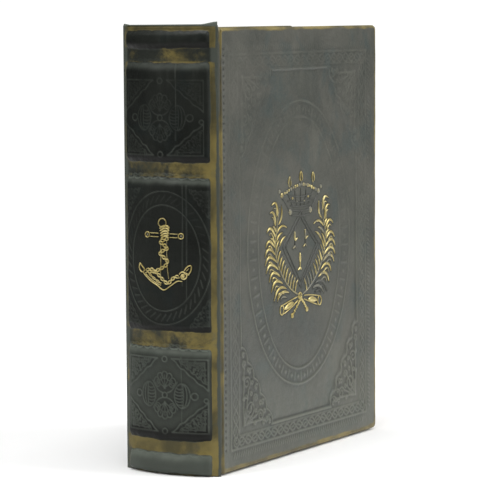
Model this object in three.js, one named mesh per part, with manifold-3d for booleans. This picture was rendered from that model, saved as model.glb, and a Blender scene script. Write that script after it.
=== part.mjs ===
// A cryptex in its book-shaped case. The case stands upright like a book on a shelf: its spine faces -X,
// its front cover faces -Y and opens on a leather joint beside the spine, and +Z is up. Behind the cover is
// a tray whose walls pass for the pages, lined with velvet, and in the tray lies the cryptex: five
// ten-sided number dials that turn on a slotted sleeve, and a toothed tube that draws out through them
// once every dial's gate is in line. Millimetres. The origin is at the middle of the object's base.
import * as THREE from "three";
import { mergeVertices } from "three/addons/utils/BufferGeometryUtils.js";
import Module from "manifold-3d";

const wasm = await Module();
wasm.setup();

// ---------------------------------------------------------------- driving dimensions: the book
const length = 203.5; // spine to fore-edge, over the raised spine panels
const thickness = 65; // outside of front cover to outside of back cover
const spineHeight = 262;
const backCoverHeight = 261;
const frontCoverBottom = 1; // the moving cover clears the table
const frontCoverTop = 260.5;
const leather = 0.8;
const board = 2.8;
const lining = 0.6;
const glue = 0.12; // clearance left between glued faces
const jointGap = 3; // width of the groove beside the spine
const grooveDepth = 1.3; // how far the leather joint lies below the cover's face
const square = 4; // how far the covers stand past the pages
const wall = 8; // tray walls
const pageVeneer = 0.8;
const lidClearance = 0.6; // between the tray's rim and the cover's lining

// ---------------------------------------------------------------- driving dimensions: the spine
const spineRise = 8; // how far the rounded spine bulges
const spineSkin = 1;
const panelRise = 2;
const panelInset = 3.4; // flat strip left at each side of a panel
const bandHeight = 6.5; // sunk gilt bands between the panels
const endPanel = 12.5;
const middlePanel = 93;
const spineSteps = 24;

// ---------------------------------------------------------------- driving dimensions: the cryptex
const dialCount = 5;
const dialSides = 10;
const dialFlat = 22; // axis to the middle of a dial's face
const dialHeight = 11.6;
const washerHeight = 0.8;
const turnGap = 0.2; // running gap above and below each dial
const sleeveRadius = 15;
const sleeveBore = 12.2;
const tubeRadius = 12;
const tubeBore = 9.5;
const capRadius = 23;
const capHeight = 28;
const capGroove = 2; // depth of the finger groove round each cap
const collarHeight = 8;
const toothReach = 18; // axis to the tip of a tooth
const toothWidth = 4.2;
const toothHeight = 3;
const toothLift = 2.2; // from a dial's bottom face to its tooth
const toothRoot = 0.8; // how deep a tooth is set into the tube
const gateDepth = 4.4; // the part of a dial's height that its gate takes
const recessRadius = 18.6; // room in which a tooth stands while its dial turns
const slotWidth = 5;
const runningFit = 0.12;
const roundSegments = 40;
const drawTravel = 72; // how far the tube draws out, past the last gate

// ---------------------------------------------------------------- places worked out from those
const foreEdge = length / 2;
const frontFace = -thickness / 2;
const backFace = thickness / 2;
const spineChord = -length / 2 + spineRise + panelRise; // x where the rounded spine meets the covers
const coverEdge = spineChord + jointGap; // x of the front cover's hinged edge
const coverDepth = leather + board + 2 * glue;
const frontInside = frontFace + coverDepth;
const backInside = backFace - coverDepth;
const rim = frontInside + lining + lidClearance; // y of the tray's open edge
const pageTop = frontCoverTop - square;
const pageBottom = frontCoverBottom + square;
const foreWallOut = foreEdge - square - pageVeneer - glue;
const spineWallIn = spineChord + glue + wall;
const foreWallIn = foreWallOut - wall;
const headWallIn = pageTop - pageVeneer - glue - wall;
const tailWallIn = pageBottom + pageVeneer + glue + wall;
const trayLeft = spineWallIn + glue + lining;
const trayRight = foreWallIn - glue - lining;
const trayBottom = tailWallIn + glue + lining;
const trayTop = headWallIn - glue - lining;
const trayFloor = backInside - glue - lining;

// ---------------------------------------------------------------- materials
const finish = (color, roughness, metalness = 0) =>
  new THREE.MeshStandardMaterial({ color, roughness, metalness });
const materials = {
  coverLeather: finish(0x565a54, 0.55),
  spineLeather: finish(0x232523, 0.5),
  greyboard: finish(0x8b8578, 0.95),
  timber: finish(0x9b7a52, 0.8),
  pages: finish(0xb8a578, 0.85),
  velvet: finish(0x4a1015, 0.95),
  magnet: finish(0xb5b8bc, 0.3, 1),
  brass: finish(0xa8803a, 0.35, 1),
  darkBrass: finish(0x5c4524, 0.5, 1),
};

// ---------------------------------------------------------------- making solids
const object = new THREE.Group();

function add(name, material, geometry, x = 0, y = 0, z = 0) {
  const mesh = new THREE.Mesh(geometry, material);
  mesh.name = name;
  mesh.position.set(x, y, z);
  object.add(mesh);
  return mesh;
}

function boxGeometry([x0, x1], [y0, y1], [z0, z1]) {
  const geometry = new THREE.BoxGeometry(x1 - x0, y1 - y0, z1 - z0);
  return geometry.translate((x0 + x1) / 2, (y0 + y1) / 2, (z0 + z1) / 2);
}

function addBox(name, material, xs, ys, zs) {
  return add(name, material, boxGeometry(xs, ys, zs));
}

function solidOf(geometry) {
  const bare = geometry.clone();
  bare.deleteAttribute("normal");
  bare.deleteAttribute("uv");
  const merged = mergeVertices(bare, 1e-4);
  return new wasm.Manifold(
    new wasm.Mesh({
      numProp: 3,
      vertProperties: new Float32Array(merged.attributes.position.array),
      triVerts: new Uint32Array(merged.index.array),
    }),
  );
}

function geometryOf(solid) {
  const { vertProperties, triVerts } = solid.getMesh();
  const geometry = new THREE.BufferGeometry();
  geometry.setAttribute("position", new THREE.BufferAttribute(new Float32Array(vertProperties), 3));
  geometry.setIndex(new THREE.BufferAttribute(new Uint32Array(triVerts), 1));
  return geometry;
}

function cut(geometry, ...tools) {
  return geometryOf(tools.reduce((left, tool) => left.subtract(solidOf(tool)), solidOf(geometry)));
}

function join(geometry, ...others) {
  return geometryOf(others.reduce((whole, other) => whole.add(solidOf(other)), solidOf(geometry)));
}

// A closed profile of [radius, z] points, turned about the Z axis.
function turned(points, segments = roundSegments) {
  const profile = points.map(([radius, z]) => new THREE.Vector2(radius, z));
  return new THREE.LatheGeometry(profile, segments).rotateX(Math.PI / 2);
}

function ring(inner, outer, z0, z1, segments = roundSegments) {
  const profile = [[inner, z0], [outer, z0], [outer, z1], [inner, z1], [inner, z0]];
  return turned(profile, segments);
}

function disc(radius, z0, z1, segments = roundSegments) {
  return new THREE.CylinderGeometry(radius, radius, z1 - z0, segments)
    .rotateX(Math.PI / 2)
    .translate(0, 0, (z0 + z1) / 2);
}

// An outline in the XY plane raised along Z.
function prism(outline, z0, z1) {
  const shape = new THREE.Shape(outline.map(([x, y]) => new THREE.Vector2(x, y)));
  return new THREE.ExtrudeGeometry(shape, { depth: z1 - z0, bevelEnabled: false }).translate(0, 0, z0);
}

// ---------------------------------------------------------------- the two covers
// Leather drawn over a board: the outer face and the four edges in one piece.
function coverLeather(xs, zs, outerFace, inward) {
  const ys = [outerFace, outerFace + inward * coverDepth].sort((a, b) => a - b);
  const pocketYs = [outerFace + inward * leather, outerFace + inward * (coverDepth + 1)];
  const pocket = boxGeometry(
    [xs[0] + leather, xs[1] - leather],
    pocketYs.sort((a, b) => a - b),
    [zs[0] + leather, zs[1] - leather],
  );
  return cut(boxGeometry(xs, ys, zs), pocket);
}

function coverBoard(xs, zs, outerFace, inward) {
  const edge = leather + glue;
  const ys = [outerFace + inward * edge, outerFace + inward * (edge + board)].sort((a, b) => a - b);
  return boxGeometry([xs[0] + edge, xs[1] - edge], ys, [zs[0] + edge, zs[1] - edge]);
}

const magnetRadius = 3;
const magnetDepth = 2;
const plateDepth = 1;
const magnetHeights = { lower: 62, upper: 200 };
const magnetX = foreWallOut - wall / 2;
const magnetSegments = 20;

// A short cylinder lying along Y.
function stud(radius, y0, y1, x, z) {
  return new THREE.CylinderGeometry(radius, radius, y1 - y0, magnetSegments).translate(x, (y0 + y1) / 2, z);
}

function addFrontCover() {
  const xs = [coverEdge, foreEdge];
  const zs = [frontCoverBottom, frontCoverTop];
  add("front_cover_leather", materials.coverLeather, coverLeather(xs, zs, frontFace, 1));
  const pockets = Object.values(magnetHeights).map((z) =>
    stud(magnetRadius + glue, frontInside - plateDepth - 2 * glue, frontInside + 1, magnetX, z),
  );
  add("front_cover_board", materials.greyboard, cut(coverBoard(xs, zs, frontFace, 1), ...pockets));
  addBox(
    "front_cover_lining",
    materials.velvet,
    [coverEdge + leather, foreEdge - leather],
    [frontInside + glue, frontInside + lining],
    [frontCoverBottom + leather, frontCoverTop - leather],
  );
  for (const [place, z] of Object.entries(magnetHeights)) {
    const plate = stud(magnetRadius, frontInside - plateDepth - glue, frontInside - glue, magnetX, z);
    add("cover_strike_plate_" + place, materials.magnet, plate);
  }
}

function addBackCover() {
  const xs = [spineChord + glue, foreEdge];
  const zs = [0, backCoverHeight];
  add("back_cover_leather", materials.coverLeather, coverLeather(xs, zs, backFace, -1));
  add("back_cover_board", materials.greyboard, coverBoard(xs, zs, backFace, -1));
}

// The leather joint is two strips in the groove, one held by each side of the hinge line.
function addLeatherJoint() {
  const hingeX = (spineChord + coverEdge) / 2;
  const ys = [frontFace + grooveDepth, frontFace + grooveDepth + leather];
  const slack = 0.15;
  addBox(
    "joint_leather_case_side",
    materials.coverLeather,
    [spineChord + slack, hingeX - slack],
    ys,
    [frontCoverBottom - 0.5, frontCoverTop + 0.5],
  );
  addBox(
    "joint_leather_cover_side",
    materials.coverLeather,
    [hingeX + slack, coverEdge - slack],
    ys,
    [frontCoverBottom, frontCoverTop],
  );
}

// ---------------------------------------------------------------- the tray, whose walls pass for pages
const ribPitch = 2;
const ribDepth = 0.3;

// A ribbed strip that looks like the edges of pages: [across, out] points, its ribs `ribPitch` apart.
function pageOutline(from, to) {
  const count = Math.round((to - from) / ribPitch);
  const step = (to - from) / count;
  const ribs = [];
  for (let i = 0; i <= count; i++) {
    ribs.push([from + i * step, pageVeneer]);
    if (i < count) ribs.push([from + (i + 0.5) * step, pageVeneer - ribDepth]);
  }
  return [[from, 0], [to, 0], ...ribs.reverse()];
}

// The ribbed strip as a prism `run` long, with its back on the plane out = 0.
function pageStrip(run) {
  return prism(pageOutline(rim, backInside - glue), 0, run);
}

function addTray() {
  const ys = [rim, backInside - glue];
  const innerZ = [tailWallIn, headWallIn];
  const fullZ = [tailWallIn - wall, headWallIn + wall];
  const pockets = Object.values(magnetHeights).map((z) =>
    stud(magnetRadius + glue, rim - 1, rim + magnetDepth + 2 * glue, magnetX, z),
  );
  const foreWall = boxGeometry([foreWallIn, foreWallOut], ys, fullZ);
  add("fore_edge_wall", materials.timber, cut(foreWall, ...pockets));
  addBox("spine_side_wall", materials.timber, [spineWallIn - wall, spineWallIn], ys, fullZ);
  const between = [spineWallIn + glue, foreWallIn - glue];
  addBox("head_wall", materials.timber, between, ys, [headWallIn, headWallIn + wall]);
  addBox("tail_wall", materials.timber, between, ys, [tailWallIn - wall, tailWallIn]);
  for (const [place, z] of Object.entries(magnetHeights)) {
    add("case_magnet_" + place, materials.magnet, stud(magnetRadius, rim, rim + magnetDepth, magnetX, z));
  }

  // page edges: the outline's first coordinate lies along Y and its second points out of the wall
  const foreRun = fullZ[1] - fullZ[0];
  const foreStrip = pageStrip(foreRun).rotateZ(Math.PI / 2).scale(-1, 1, 1);
  add("fore_edge_pages", materials.pages, turnedOut(foreStrip), foreWallOut + glue, 0, fullZ[0]);
  const headRun = foreWallOut - (spineWallIn - wall);
  const headStrip = () => pageStrip(headRun).rotateZ(Math.PI / 2).scale(-1, 1, 1);
  const head = turnedOut(headStrip()).rotateY(-Math.PI / 2);
  const tail = turnedOut(headStrip()).rotateY(-Math.PI / 2).rotateX(Math.PI);
  add("head_pages", materials.pages, head, foreWallOut, 0, fullZ[1] + glue);
  add("tail_pages", materials.pages, tail, foreWallOut, ys[0] + ys[1], fullZ[0] - glue);

  // velvet linings
  const liningYs = [rim + 0.5, trayFloor];
  const floorYs = [trayFloor, trayFloor + lining];
  const inside = [spineWallIn + glue, foreWallIn - glue];
  addBox("floor_lining", materials.velvet, inside, floorYs, [innerZ[0] + glue, innerZ[1] - glue]);
  const wallYs = [liningYs[0], liningYs[1] - glue];
  const sideZ = [trayBottom + glue, trayTop - glue];
  addBox("spine_side_lining", materials.velvet, [inside[0], inside[0] + lining], wallYs, sideZ);
  addBox("fore_side_lining", materials.velvet, [inside[1] - lining, inside[1]], wallYs, sideZ);
  addBox("head_lining", materials.velvet, inside, wallYs, [trayTop, trayTop + lining]);
  addBox("tail_lining", materials.velvet, inside, wallYs, [trayBottom - lining, trayBottom]);
}

// Mirroring turns every face inside out, so this swaps two corners of each triangle back.
function turnedOut(geometry) {
  const flat = geometry.index ? geometry.toNonIndexed() : geometry.clone();
  const positions = flat.attributes.position;
  for (let i = 0; i < positions.count; i += 3) {
    for (const axis of ["X", "Y", "Z"]) {
      const second = positions["get" + axis](i + 1);
      positions["set" + axis](i + 1, positions["get" + axis](i + 2));
      positions["set" + axis](i + 2, second);
    }
  }
  flat.deleteAttribute("normal");
  flat.deleteAttribute("uv");
  return flat;
}

// ---------------------------------------------------------------- the rounded spine
const spineHalf = thickness / 2;
const spineRadius = (spineHalf * spineHalf + spineRise * spineRise) / (2 * spineRise);
const spineCentreX = spineChord - spineRise + spineRadius;

// Points on the spine's arc, grown outwards by `out`, from y = -reach to y = +reach.
function spineArc(out, reach) {
  const grown = spineRadius + out;
  const sweep = Math.asin(reach / grown);
  const points = [];
  for (let i = 0; i <= spineSteps; i++) {
    const angle = -sweep + (2 * sweep * i) / spineSteps;
    points.push([spineCentreX - grown * Math.cos(angle), grown * Math.sin(angle)]);
  }
  return points;
}

// Half the width of a grown arc where it crosses the plane x.
function reachAt(out, x) {
  return Math.sqrt((spineRadius + out) ** 2 - (spineCentreX - x) ** 2);
}

// The strip between two arcs, as an outline that runs round counter-clockwise.
function arcBand(innerOut, outerOut, reachInner, reachOuter) {
  return [...spineArc(innerOut, reachInner), ...spineArc(outerOut, reachOuter).reverse()];
}

function addSpine() {
  const coreOut = -spineSkin - glue;
  const coreOutline = spineArc(coreOut, reachAt(coreOut, spineChord - glue));
  add("spine_core", materials.timber, prism(coreOutline, spineSkin + glue, spineHeight - spineSkin - glue));
  add("spine_head_cap", materials.spineLeather, prism(coreOutline, spineHeight - spineSkin, spineHeight));
  add("spine_tail_cap", materials.spineLeather, prism(coreOutline, 0, spineSkin));
  const skin = arcBand(-spineSkin, 0, reachAt(-spineSkin, spineChord), spineHalf);
  add("spine_leather", materials.spineLeather, prism(skin, 0, spineHeight));

  const outerPanel = (spineHeight - 2 * endPanel - 4 * bandHeight - middlePanel) / 2;
  const panels = [
    ["spine_panel_tail", endPanel],
    ["spine_panel_lower", outerPanel],
    ["spine_panel_centre", middlePanel],
    ["spine_panel_upper", outerPanel],
    ["spine_panel_head", endPanel],
  ];
  const reach = spineHalf - panelInset;
  const outline = arcBand(glue, panelRise, reach, reach);
  let z = 0;
  for (const [name, height] of panels) {
    const bottom = Math.max(z, leather);
    const top = Math.min(z + height, spineHeight - leather);
    add(name, materials.spineLeather, prism(outline, bottom, top));
    z += height + bandHeight;
  }
}

// ---------------------------------------------------------------- the padded insert
const cryptexX = (trayLeft + trayRight) / 2;
const floorPad = 2.5;
const insertFace = -2; // y of the insert's upper surface
const padGap = 0.3; // clearance round each pad
const cryptexY = trayFloor - padGap - floorPad - glue - capRadius;
const cryptexBottom = 30;
const recessHalf = capRadius + 2.5;
const recessBottom = 26;
const recessClearance = 4; // left above the pull cap when the tube is drawn

const stackBottom = cryptexBottom + capHeight;
const dialPitch = dialHeight + washerHeight + 2 * turnGap;
const stackTop = stackBottom + turnGap + dialCount * dialPitch - washerHeight - turnGap;
const collarTop = stackTop + collarHeight;
const pullBottom = collarTop + 0.4;
const pullTop = pullBottom + capHeight;
const recessTop = pullTop + drawTravel + recessClearance;

function addInsert() {
  const ys = [insertFace, trayFloor - padGap];
  const left = [trayLeft + padGap, cryptexX - recessHalf];
  const right = [cryptexX + recessHalf, trayRight - padGap];
  const middle = [cryptexX - recessHalf + padGap, cryptexX + recessHalf - padGap];
  const full = [trayBottom + padGap, trayTop - padGap];
  addBox("spine_side_pad", materials.velvet, left, ys, full);
  addBox("fore_side_pad", materials.velvet, right, ys, full);
  addBox("tail_pad", materials.velvet, middle, ys, [full[0], recessBottom]);
  addBox("head_pad", materials.velvet, middle, ys, [recessTop, full[1]]);
  const floorYs = [trayFloor - padGap - floorPad, trayFloor - padGap];
  addBox("floor_pad", materials.velvet, middle, floorYs, [recessBottom + padGap, recessTop - padGap]);
}

// ---------------------------------------------------------------- the cryptex
// The slot, the gates and the teeth all face -Y, which is the open side of the tray.
function toothPath(z0, z1, reach, width = slotWidth) {
  return boxGeometry([-width / 2, width / 2], [-reach, -sleeveBore + 1], [z0, z1]);
}

function placeCryptex(name, material, geometry) {
  return add(name, material, geometry, cryptexX, cryptexY, 0);
}

// The outside of a cap, as [radius, distance from its end face], out to its rim beside the dials.
const capOutline = [
  [0, 0],
  [capRadius - 6, 0],
  [capRadius - 4, 1.5],
  [capRadius, 4],
  [capRadius, 13],
  [capRadius - capGroove, 14.5],
  [capRadius - capGroove, 19],
  [capRadius, 20.5],
  [capRadius, capHeight],
];

function addSleeveAndCaps() {
  const seat = cryptexBottom + 6; // floor of the base cap's socket
  const base = [
    ...capOutline.map(([radius, rise]) => [radius, cryptexBottom + rise]),
    [sleeveRadius + runningFit, stackBottom],
    [sleeveRadius + runningFit, seat],
    [0, seat],
  ];
  placeCryptex("cryptex_base_cap", materials.brass, turned(base));

  const sleeve = ring(sleeveBore, sleeveRadius, seat + glue, collarTop);
  const slot = toothPath(stackBottom - 2, collarTop + 1, sleeveRadius + 1);
  placeCryptex("cryptex_sleeve", materials.darkBrass, cut(sleeve, slot));

  const collar = ring(sleeveRadius + runningFit, capRadius, stackTop + turnGap, collarTop);
  const collarGate = toothPath(stackTop - 1, collarTop + 1, toothReach + 0.5, slotWidth + 0.2);
  placeCryptex("cryptex_collar", materials.brass, cut(collar, collarGate));
}

function dialBottom(index) {
  return stackBottom + turnGap + index * dialPitch;
}

function addDialsAndWashers() {
  const corner = dialFlat / Math.cos(Math.PI / dialSides);
  const facing = Math.PI / dialSides; // turns a flat, not a corner, towards -Y
  const bevel = 1.2; // height of the rounding at each end of a dial's corners
  const bore = sleeveRadius + runningFit;
  const gateReach = toothReach + 0.5;
  const gateWidth = slotWidth + 0.2;
  for (let i = 0; i < dialCount; i++) {
    const z0 = dialBottom(i);
    const z1 = z0 + dialHeight;
    const blank = disc(corner, z0, z1, dialSides).rotateZ(facing);
    const rounded = turned([
      [0, z0],
      [dialFlat - 0.4, z0],
      [corner, z0 + bevel],
      [corner, z1 - bevel],
      [dialFlat - 0.4, z1],
      [0, z1],
    ]);
    const trimmed = geometryOf(solidOf(blank).intersect(solidOf(rounded)));
    const hole = disc(bore, z0 - 1, z1 + 1);
    const recess = disc(recessRadius, z0 - 1, z1 - gateDepth);
    const gate = toothPath(z0, z1 + 1, gateReach, gateWidth);
    placeCryptex("cryptex_dial_" + (i + 1), materials.brass, cut(trimmed, hole, recess, gate));
    if (i < dialCount - 1) {
      const z2 = z1 + turnGap;
      const washer = ring(bore, dialFlat - 1.5, z2, z2 + washerHeight);
      const gap = toothPath(z1, z1 + 2, gateReach, gateWidth);
      placeCryptex("cryptex_washer_" + (i + 1), materials.darkBrass, cut(washer, gap));
    }
  }
}

function addDrawTube() {
  const tubeBottom = cryptexBottom + 8;
  const tubeTop = pullBottom + 16;
  const teeth = [];
  for (let i = 0; i < dialCount; i++) {
    const z0 = dialBottom(i) + toothLift;
    const tooth = boxGeometry(
      [-toothWidth / 2, toothWidth / 2],
      [-toothReach, -tubeRadius + toothRoot],
      [z0, z0 + toothHeight],
    );
    teeth.push(tooth);
  }
  const tube = ring(tubeBore, tubeRadius, tubeBottom, tubeTop);
  placeCryptex("cryptex_draw_tube", materials.darkBrass, join(tube, ...teeth));

  const pull = [
    [0, tubeTop + glue],
    [tubeRadius + glue, tubeTop + glue],
    [tubeRadius + glue, pullBottom],
    ...capOutline.map(([radius, drop]) => [radius, pullTop - drop]).reverse(),
  ];
  placeCryptex("cryptex_pull_cap", materials.brass, turned(pull));
}

addFrontCover();
addBackCover();
addLeatherJoint();
addTray();
addSpine();
addInsert();
addSleeveAndCaps();
addDialsAndWashers();
addDrawTube();

export default object;
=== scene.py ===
"""Looks for the book-shaped cryptex case: tooled leather, gilding, page edges, velvet and brass.

Lengths are in millimetres until a mesh is made, where MM turns them into the frame's metres. On a
cover, u runs from the edge beside the spine and v down from the head. On the spine, u runs round the
rounded back from the back cover to the front cover, and v down from the head.
"""
import math

import bmesh
import bpy
import numpy as np
from mathutils import Matrix, Vector


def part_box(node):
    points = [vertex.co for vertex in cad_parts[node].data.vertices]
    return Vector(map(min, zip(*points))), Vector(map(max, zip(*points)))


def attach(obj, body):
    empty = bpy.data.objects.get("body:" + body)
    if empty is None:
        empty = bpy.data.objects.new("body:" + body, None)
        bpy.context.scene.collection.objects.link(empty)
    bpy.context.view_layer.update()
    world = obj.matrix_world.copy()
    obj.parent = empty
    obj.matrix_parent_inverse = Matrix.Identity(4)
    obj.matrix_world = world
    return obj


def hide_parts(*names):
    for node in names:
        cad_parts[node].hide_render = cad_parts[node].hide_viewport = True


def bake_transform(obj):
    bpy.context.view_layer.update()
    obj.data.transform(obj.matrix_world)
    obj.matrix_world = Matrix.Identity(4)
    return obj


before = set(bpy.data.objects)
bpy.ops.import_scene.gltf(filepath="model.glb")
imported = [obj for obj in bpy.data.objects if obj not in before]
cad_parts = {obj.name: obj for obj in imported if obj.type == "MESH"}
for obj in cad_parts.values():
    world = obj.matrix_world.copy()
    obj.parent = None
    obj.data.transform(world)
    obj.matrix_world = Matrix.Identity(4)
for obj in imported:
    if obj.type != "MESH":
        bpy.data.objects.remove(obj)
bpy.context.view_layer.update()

MM = 0.001
GLUE_GAP = 0.12  # clearance between pieces that are glued or run together
rng = np.random.default_rng(20)


def box_mm(node):
    """The lowest and highest corner of a CAD node, in millimetres."""
    low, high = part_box(node)
    return np.array(low) / MM, np.array(high) / MM


# ------------------------------------------------------------------ camera, floor and light
CAMERA_PLACE = (-1.3297, -0.7875, 0.2717)
CAMERA_AZIMUTH = -59.32
CAMERA_ELEVATION = 5.475
CAMERA_ROLL = -0.31
CAMERA_LENS = 181.7
CAMERA_SENSOR = 36
LIGHT_TARGET = (0, 0, 0.13)
WORLD_LIGHT = 0.16
TABLE_RADIUS = 0.75
BACKDROP_RADIUS = 12


def add_camera():
    azimuth, elevation, roll = (math.radians(a) for a in (CAMERA_AZIMUTH, CAMERA_ELEVATION, CAMERA_ROLL))
    back = Vector((
        math.sin(azimuth) * math.cos(elevation),
        -math.cos(azimuth) * math.cos(elevation),
        math.sin(elevation),
    ))
    level = Vector((0, 0, 1)).cross(back).normalized()
    upright = back.cross(level)
    right = level * math.cos(roll) + upright * math.sin(roll)
    up = upright * math.cos(roll) - level * math.sin(roll)
    data = bpy.data.cameras.new("camera")
    data.lens = CAMERA_LENS
    data.sensor_width = CAMERA_SENSOR
    data.clip_end = 50
    camera = bpy.data.objects.new("camera", data)
    rotation = Matrix((right, up, back)).transposed().to_4x4()
    camera.matrix_world = Matrix.Translation(CAMERA_PLACE) @ rotation
    bpy.context.scene.collection.objects.link(camera)
    bpy.context.scene.camera = camera


def add_softbox(name, place, size, energy):
    data = bpy.data.lights.new(name, "AREA")
    data.shape = "SQUARE"
    data.size = size
    data.energy = energy
    light = bpy.data.objects.new(name, data)
    light.location = place
    light.rotation_euler = (Vector(LIGHT_TARGET) - Vector(place)).to_track_quat("-Z", "Y").to_euler()
    bpy.context.scene.collection.objects.link(light)


def object_from(work, name, material):
    """An object from a bmesh, which this frees."""
    mesh = bpy.data.meshes.new(name)
    work.to_mesh(mesh)
    work.free()
    mesh.materials.append(material)
    obj = bpy.data.objects.new(name, mesh)
    bpy.context.scene.collection.objects.link(obj)
    return obj


def add_studio(floor_material, backdrop_material):
    """A white table, a white backdrop all round that only the camera sees, and three softboxes."""
    world = bpy.data.worlds.new("studio")
    world.use_nodes = True
    background = world.node_tree.nodes["Background"]
    background.inputs["Color"].default_value = (1, 1, 1, 1)
    background.inputs["Strength"].default_value = WORLD_LIGHT
    bpy.context.scene.world = world
    bpy.context.scene.view_settings.view_transform = "Standard"
    add_softbox("key_softbox", (0.9, -1.9, 1.5), 1.5, 56)
    add_softbox("top_softbox", (-0.3, 0.0, 2.0), 1.3, 38)
    add_softbox("spine_softbox", (-1.5, 0.95, 1.35), 0.9, 13)

    work = bmesh.new()
    bmesh.ops.create_circle(work, cap_ends=True, radius=TABLE_RADIUS, segments=96)
    table = object_from(work, "table", floor_material)
    work = bmesh.new()
    bmesh.ops.create_icosphere(work, subdivisions=4, radius=BACKDROP_RADIUS)
    backdrop = object_from(work, "backdrop", backdrop_material)
    for ray in ("diffuse", "glossy", "transmission", "volume_scatter", "shadow"):
        setattr(backdrop, "visible_" + ray, False)


# ------------------------------------------------------------------ materials
class Finish:
    """A node material: a principled shader and short calls for the nodes that feed it."""

    def __init__(self, name, roughness=0.5, metallic=0.0, **constants):
        self.material = bpy.data.materials.new(name)
        self.material.use_nodes = True
        self.tree = self.material.node_tree
        self.shader = self.tree.nodes["Principled BSDF"]
        self.shader.inputs["Roughness"].default_value = roughness
        self.shader.inputs["Metallic"].default_value = metallic
        for key, value in constants.items():
            self.shader.inputs[key.replace("_", " ")].default_value = value
        coordinates = self.tree.nodes.new("ShaderNodeTexCoord")
        self.place = coordinates.outputs["Object"]

    def node(self, kind, inputs=(), **settings):
        node = self.tree.nodes.new(kind)
        for key, value in settings.items():
            setattr(node, key, value)
        for key, value in dict(inputs).items():
            self.put(node.inputs[key], value)
        return node

    def put(self, socket, value):
        if isinstance(value, bpy.types.NodeSocket):
            self.tree.links.new(value, socket)
        elif isinstance(value, tuple) and len(value) == 3 and socket.type == "RGBA":
            socket.default_value = (*value, 1)
        else:
            socket.default_value = value

    def stretched(self, x, y, z):
        mapping = self.node("ShaderNodeMapping", {"Vector": self.place, "Scale": (x, y, z)})
        return mapping.outputs["Vector"]

    def noise(self, scale, detail=4, roughness=0.55, distortion=0.0, at=None):
        inputs = {"Vector": at or self.place, "Scale": scale, "Detail": detail}
        inputs |= {"Roughness": roughness, "Distortion": distortion}
        return self.node("ShaderNodeTexNoise", inputs).outputs["Fac"]

    def cells(self, scale):
        return self.node("ShaderNodeTexVoronoi", {"Vector": self.place, "Scale": scale}).outputs["Distance"]

    def attribute(self, name):
        return self.node("ShaderNodeAttribute", attribute_name=name).outputs["Fac"]

    def math(self, operation, a, b):
        return self.node("ShaderNodeMath", {0: a, 1: b}, operation=operation).outputs[0]

    def span(self, value, low, high, to_low=0.0, to_high=1.0):
        inputs = {"Value": value, "From Min": low, "From Max": high, "To Min": to_low, "To Max": to_high}
        return self.node("ShaderNodeMapRange", inputs, interpolation_type="SMOOTHSTEP").outputs[0]

    def mix(self, share, a, b):
        node = self.node("ShaderNodeMix", data_type="RGBA")
        self.put(node.inputs[0], share)
        self.put(node.inputs[6], a)
        self.put(node.inputs[7], b)
        return node.outputs[2]

    def bump(self, *layers):
        """Each layer is (height, strength, distance in millimetres)."""
        normal = None
        for height, strength, distance in layers:
            inputs = {"Height": height, "Strength": strength, "Distance": distance * MM}
            if normal is not None:
                inputs["Normal"] = normal
            normal = self.node("ShaderNodeBump", inputs).outputs["Normal"]
        self.put(self.shader.inputs["Normal"], normal)

    def done(self, colour, roughness=None, metallic=None):
        self.put(self.shader.inputs["Base Color"], colour)
        if roughness is not None:
            self.put(self.shader.inputs["Roughness"], roughness)
        if metallic is not None:
            self.put(self.shader.inputs["Metallic"], metallic)
        return self.material


# near black for painted shade, for the antiquing in the hollows and for stains
PAINTED_SHADE_AND_STAIN = (0.004, 0.004, 0.003)
OCHRE_LOW = (0.072, 0.062, 0.027)
OCHRE_HIGH = (0.200, 0.158, 0.050)
GOLD_DULL = (0.34, 0.27, 0.085)
GOLD_BRIGHT = (0.60, 0.51, 0.23)


def leather_finish(name, dark, light, rubbed_and_highlight, tint, specular, streaking):
    """Antiqued leather. Mesh values say where it is raised, pressed in, rubbed or gilt, and paint highlight
    and shade.
    """
    f = Finish(name, roughness=0.46, Specular_IOR_Level=specular)
    patches = f.noise(13, 5, 0.62, 0.7)
    blots = f.noise(42, 5, 0.62, 0.4)
    fine = f.noise(300, 4, 0.65)
    streaks = f.noise(120, 4, 0.6, 0.3, f.stretched(1, 1, 0.12))
    base = f.mix(f.span(patches, 0.34, 0.66), dark, light)
    base = f.mix(f.span(blots, 0.50, 0.68, 0, 0.75), base, tint)
    base = f.mix(f.span(streaks, 0.52, 0.72, 0, streaking), base, rubbed_and_highlight)
    base = f.mix(f.span(f.noise(820, 3, 0.6), 0.40, 0.66, 0, 0.45), base, light)
    # tone mixes in the rubbed colour: on the spine mostly a painted highlight, on the covers a lighter foot
    base = f.mix(f.attribute("tone"), base, rubbed_and_highlight)
    # raised points take the rubbed colour: wear on their crests and a painted highlight
    raised = f.math("MULTIPLY", f.attribute("raised"), f.span(fine, 0.25, 0.7, 0.45, 1.0))
    base = f.mix(raised, base, rubbed_and_highlight)
    # pressed darkens to near black: painted shade in hollows, round the gilding, under the spine's panels and
    # in creases, and stains
    base = f.mix(f.attribute("pressed"), base, PAINTED_SHADE_AND_STAIN)
    ragged = f.math("ADD", f.attribute("gilt"), f.math("MULTIPLY", f.math("SUBTRACT", blots, 0.5), 1.7))
    ragged = f.math("ADD", ragged, f.math("MULTIPLY", f.math("SUBTRACT", fine, 0.5), 0.6))
    ochre_share = f.math("MULTIPLY", f.span(ragged, 0.34, 0.86), 0.94)
    smudge = f.noise(44, 4, 0.55, 0.5)
    ochre = f.mix(f.span(smudge, 0.34, 0.66), OCHRE_LOW, OCHRE_HIGH)
    colour = f.mix(ochre_share, base, ochre)
    rough = f.span(patches, 0.3, 0.7, 0.38, 0.50)
    rough = f.math("ADD", rough, f.span(fine, 0.3, 0.7, -0.04, 0.08))
    f.bump((f.cells(760), 0.30, 0.20), (fine, 0.35, 0.14), (f.noise(90, 4, 0.6, 1.2), 0.35, 0.6))
    return f.done(colour, rough)


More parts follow.
